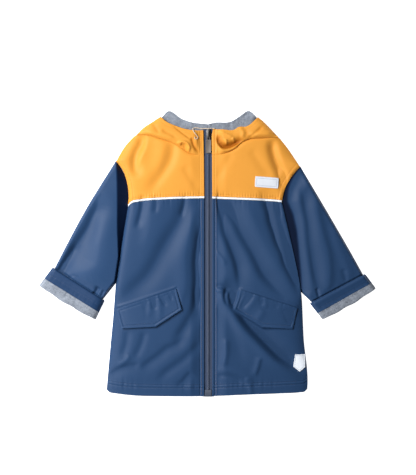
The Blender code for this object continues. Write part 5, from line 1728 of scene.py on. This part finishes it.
# ---------------------------------------------------------------- flaps, label and patch
def flap_top(side, plan, free, place):
    """Upper face of a pocket flap: just over the front's broad form, lifting towards its free edge."""
    ground = front_top(side, plan, fine=False)
    return ground + LAY_CLEAR + FLAP_CLOTH + FLAP_LIFT[side] * free**2 * step_up(place, -0.05, 0.25)


class RAINCOAT_OT_flaps(bpy.types.Operator):
    """Makes the two pocket flaps with their topstitching"""

    bl_idname = "raincoat.flaps"
    bl_label = "Pocket Flaps"

    def execute(self, context):
        runs = []
        for side, sign in SIDES.items():
            u, v = crowded(120, 1.2), crowded(42, 1.2)
            plan = strip(at_shares(FLAPS[side]["top"], u), at_shares(FLAPS[side]["low"], u), u, v)
            top = flap_top(side, plan, v[:, None], u[None] if side == "left" else 1.0)
            folds = relief(plan, FLAP_FOLDS[side])
            inset = to_border(plan)
            sewn = groove(inset - FLAP_STITCH, 1.1, 0.8) + ridge(inset - 2.4, 1.6, 0.5)
            top = top + folds + sewn * step_up(v[:, None], 0.05, 0.12)
            top = top + pucker(u[None] * 120, v[:, None] * 40, 8.0, 0.3, 2.0 + sign)
            ground = front_top(side, plan, fine=False) + LAY_CLEAR * 0.6
            top = np.maximum(top, ground + 0.9 * FLAP_CLOTH)
            obj = shell(
                f"flap_{side}", plan, top, FLAP_CLOTH, ground, material_of("navy_coated_cloth"), folds / 2
            )
            settle(obj, f"pocket_flap_{side}")
            solid = np.dstack([plan, top])
            wide, deep = 118, 38  # of the stitched field
            row = int(np.argmin(np.abs(v * deep - (deep - FLAP_STITCH))))
            col0, col1 = (int(np.argmin(np.abs(u * wide - at))) for at in (5.6, 112.5))
            line = np.concatenate([solid[6:row, col0], solid[row, col0:col1], solid[6:row, col1][::-1]])
            runs.append(upright(line))
        sew("flap_topstitching", runs, "navy_thread")
        return {"FINISHED"}


class RAINCOAT_OT_labels(bpy.types.Operator):
    """Makes the bare chest label and the bare hem patch with their border stitching"""

    bl_idname = "raincoat.labels"
    bl_label = "Label and Patch"

    def execute(self, context):
        corners = np.array(LABEL_CORNERS)
        u, v = crowded(45, 1.0), crowded(20, 1.0)
        label = strip(at_shares(corners[[0, 1]], u), at_shares(corners[[3, 2]], u), u, v)
        label = self.round_corners(label, 6.0)
        u, v = crowded(22, 0.9), crowded(28, 0.9)
        low = strip(at_shares(PATCH_TOP, u), at_shares(PATCH_LOW, u), u, v)
        runs = [
            self.lay("chest_label", "label_on_yoke", label, "silver_label_cloth", "label_silver", 3.0,
                     "yoke_front_left"),
            self.lay("hem_patch", "patch_at_hem", low, "grey_patch_cloth", "patch_grey", 2.2,
                     "body_front_left"),
        ]
        sew("label_stitching", runs, "white_thread", (1.8, 0.3, 0.8))
        return {"FINISHED"}

    def round_corners(self, plan, radius):
        """Draws the grid's corners in, so that the label's outline turns on a small circle."""
        middle = plan.mean(axis=(0, 1))
        from_end = [np.minimum(np.arange(n), n - 1 - np.arange(n)) for n in plan.shape[:2]]
        pull = np.exp(-np.add.outer(*from_end) / 2.0) * radius * 0.42
        return plan + unit(middle - plan + 1e-9) * pull[..., None]

    def lay(self, node_name, name, plan, material, slot, border, rests_on):
        """A small sheet just clear of its front; returns the line of its border stitches."""
        ground = front_top("left", plan, fine=False) + LAY_CLEAR
        top = np.maximum(0.5 * (ground + ground.mean()), ground) + LABEL_CLOTH
        inset = to_border(plan)
        top = top + groove(inset - border, 0.7, 0.4)
        obj = shell(name, plan, top, LABEL_CLOTH, ground, material_of(material))
        settle(obj, node_name)
        solid = np.dstack([plan, top])
        k = int(np.argmin(np.abs(inset[:, plan.shape[1] // 2][: plan.shape[0] // 2] - border)))
        c = int(np.argmin(np.abs(inset[plan.shape[0] // 2][: plan.shape[1] // 2] - border)))
        return upright(np.concatenate([
            solid[k, c:-c], solid[k:-k, -c - 1], solid[-k - 1, c:-c][::-1], solid[k:-k, c][::-1],
        ]))


class RAINCOAT_OT_topstitching(bpy.types.Operator):
    """Sews the topstitching beside the zip, along the hem and on the yokes"""

    bl_idname = "raincoat.topstitching"
    bl_label = "Topstitching"

    def execute(self, context):
        tan, orange, navy = [], [], []
        for side, sign in SIDES.items():
            lines = LINES[side]

            def on_front(line, side=side):
                return laid(line, lambda p: front_top(side, p))

            zip_x = lines["zip_x"] + sign * STITCH_IN[side]
            seam = seam_y(side, zip_x)
            for low, high, runs in ((lines["hem"][0][1] + 3, seam - 4, tan), (seam + 4, 185.0, orange)):
                ys = np.arange(low, high, 1.0)
                runs.append(on_front(np.column_stack([np.full_like(ys, zip_x), ys])))
            hem = smooth(lines["hem"][:4], np.linspace(0.06, 0.97, 180))
            navy += [on_front(hem + np.array([0.0, up])) for up in HEM_STITCH]
            piping = smooth(lines["piping"], np.linspace(0.06, 0.93, 120))
            orange.append(on_front(piping + np.array([0.0, YOKE_STITCH])))
            arm = smooth(lines["armhole"], np.linspace(0.08, 0.95, 80))
            orange.append(on_front(offset_line(arm, sign * ARM_STITCH)))
        sew("zip_topstitching", tan, "tan_thread")
        sew("yoke_topstitching", orange, "orange_thread")
        sew("hem_topstitching", navy, "navy_thread")
        return {"FINISHED"}


# ---------------------------------------------------------------- neck cord
def cord_line():
    """The cord's centreline: its route smoothed, a cord's radius over the hood and its lining."""
    line = smooth(CORD_ROUTE, even(120))
    across = np.abs(line[:, 0])
    chain_half, tape_half = 4.5, 12.5
    over_chain, over_tape = 9.2, 7.6
    ground = np.where(across < tape_half, over_tape, LINING_TOP + 0.4)
    ground = np.where(across < chain_half, over_chain, ground)
    rim_y = 237.1
    on_hood = step_up(rim_y - line[:, 1], 0.0, 5.0)
    hood = hood_top("right", line)
    ground = ground + (np.maximum(hood, LINING_TOP) - ground) * on_hood
    height = ground + CORD_R + 0.25
    kernel = np.ones(9) / 9
    height = np.maximum(np.convolve(np.pad(height, 4, mode="edge"), kernel, mode="valid"), height)
    return np.column_stack([line, height])


class RAINCOAT_OT_neck_cord(bpy.types.Operator):
    """Makes the thin twisted cord that comes over the rim and ends in a small loop"""

    bl_idname = "raincoat.neck_cord"
    bl_label = "Neck Cord"

    def execute(self, context):
        line = cord_line()
        ahead = unit(np.gradient(line, axis=0))
        side = unit(np.cross(ahead, [0.0, 0.0, 1.0]))
        up = np.cross(side, ahead)
        run = run_along(line)
        around = 18
        turn = np.arange(around) * 2 * math.pi / around
        strand = 0.86 + 0.14 * np.abs(np.cos(1.5 * (turn[None] + run[:, None] * 1.4)))
        taper = np.minimum(1, (np.minimum(run, run[-1] - run) + 0.15) / 0.8)
        radius = CORD_R * strand * np.sqrt(taper)[:, None]
        rings = line[:, None] + radius[..., None] * (
            np.cos(turn)[None, :, None] * side[:, None] + np.sin(turn)[None, :, None] * up[:, None]
        )
        points = np.concatenate([rings.reshape(-1, 3), line[:1], line[-1:]])
        faces = grid_faces(len(line), around, closed=True)[:, ::-1]
        obj = add_mesh("twisted_neck_cord", points, faces, material_of("twisted_cord"))
        ends = bmesh.new()
        ends.from_mesh(obj.data)
        ends.verts.ensure_lookup_table()
        for first, tip in ((0, -2), (len(line) * around - around, -1)):
            for k in range(around):
                corners = (first + k, first + (k + 1) % around, tip)
                ends.faces.new([ends.verts[corner] for corner in corners]).smooth = True
        bmesh.ops.recalc_face_normals(ends, faces=ends.faces)
        ends.to_mesh(obj.data)
        ends.free()
        settle(obj, "neck_cord")
        return {"FINISHED"}


# ---------------------------------------------------------------- panel and registration
STEPS = (
    RAINCOAT_OT_stage, RAINCOAT_OT_neck_cord, RAINCOAT_OT_back, RAINCOAT_OT_sleeves, RAINCOAT_OT_fronts,
    RAINCOAT_OT_zip, RAINCOAT_OT_hood, RAINCOAT_OT_flaps, RAINCOAT_OT_labels, RAINCOAT_OT_topstitching,
)


SETTINGS = {
    "raincoat_cloth": RaincoatCloth, "raincoat_zip": RaincoatZip, "raincoat_stage": RaincoatStage,
    "raincoat_colours": RaincoatColours,
}


class RAINCOAT_PT_panel(bpy.types.Panel):
    """Lists the coat's pieces in the order in which they are made"""

    bl_idname = "RAINCOAT_PT_panel"
    bl_label = "Child's Raincoat"
    bl_space_type = "VIEW_3D"
    bl_region_type = "UI"
    bl_category = "Raincoat"

    def draw(self, context):
        column = self.layout.column(align=True)
        for step in STEPS:
            column.operator(step.bl_idname)
        for name in SETTINGS:
            settings = getattr(context.scene, name)
            box = self.layout.box()
            for key in settings.bl_rna.properties.keys():
                if key not in {"rna_type", "name"}:
                    box.prop(settings, key)


def register():
    """Adds the settings, the operators and the panel."""
    for kind in (*SETTINGS.values(), *STEPS, RAINCOAT_PT_panel):
        bpy.utils.register_class(kind)
    for name, kind in SETTINGS.items():
        setattr(bpy.types.Scene, name, PointerProperty(type=kind))


def unregister():
    """Takes them away again."""
    for name in SETTINGS:
        delattr(bpy.types.Scene, name)
    for kind in (RAINCOAT_PT_panel, *STEPS[::-1], *SETTINGS.values()):
        bpy.utils.unregister_class(kind)


def main():
    """Makes the coat and its stage."""
    register()
    for step in STEPS:
        group, name = step.bl_idname.split(".")
        getattr(getattr(bpy.ops, group), name)()


if __name__ == "__main__":
    main()
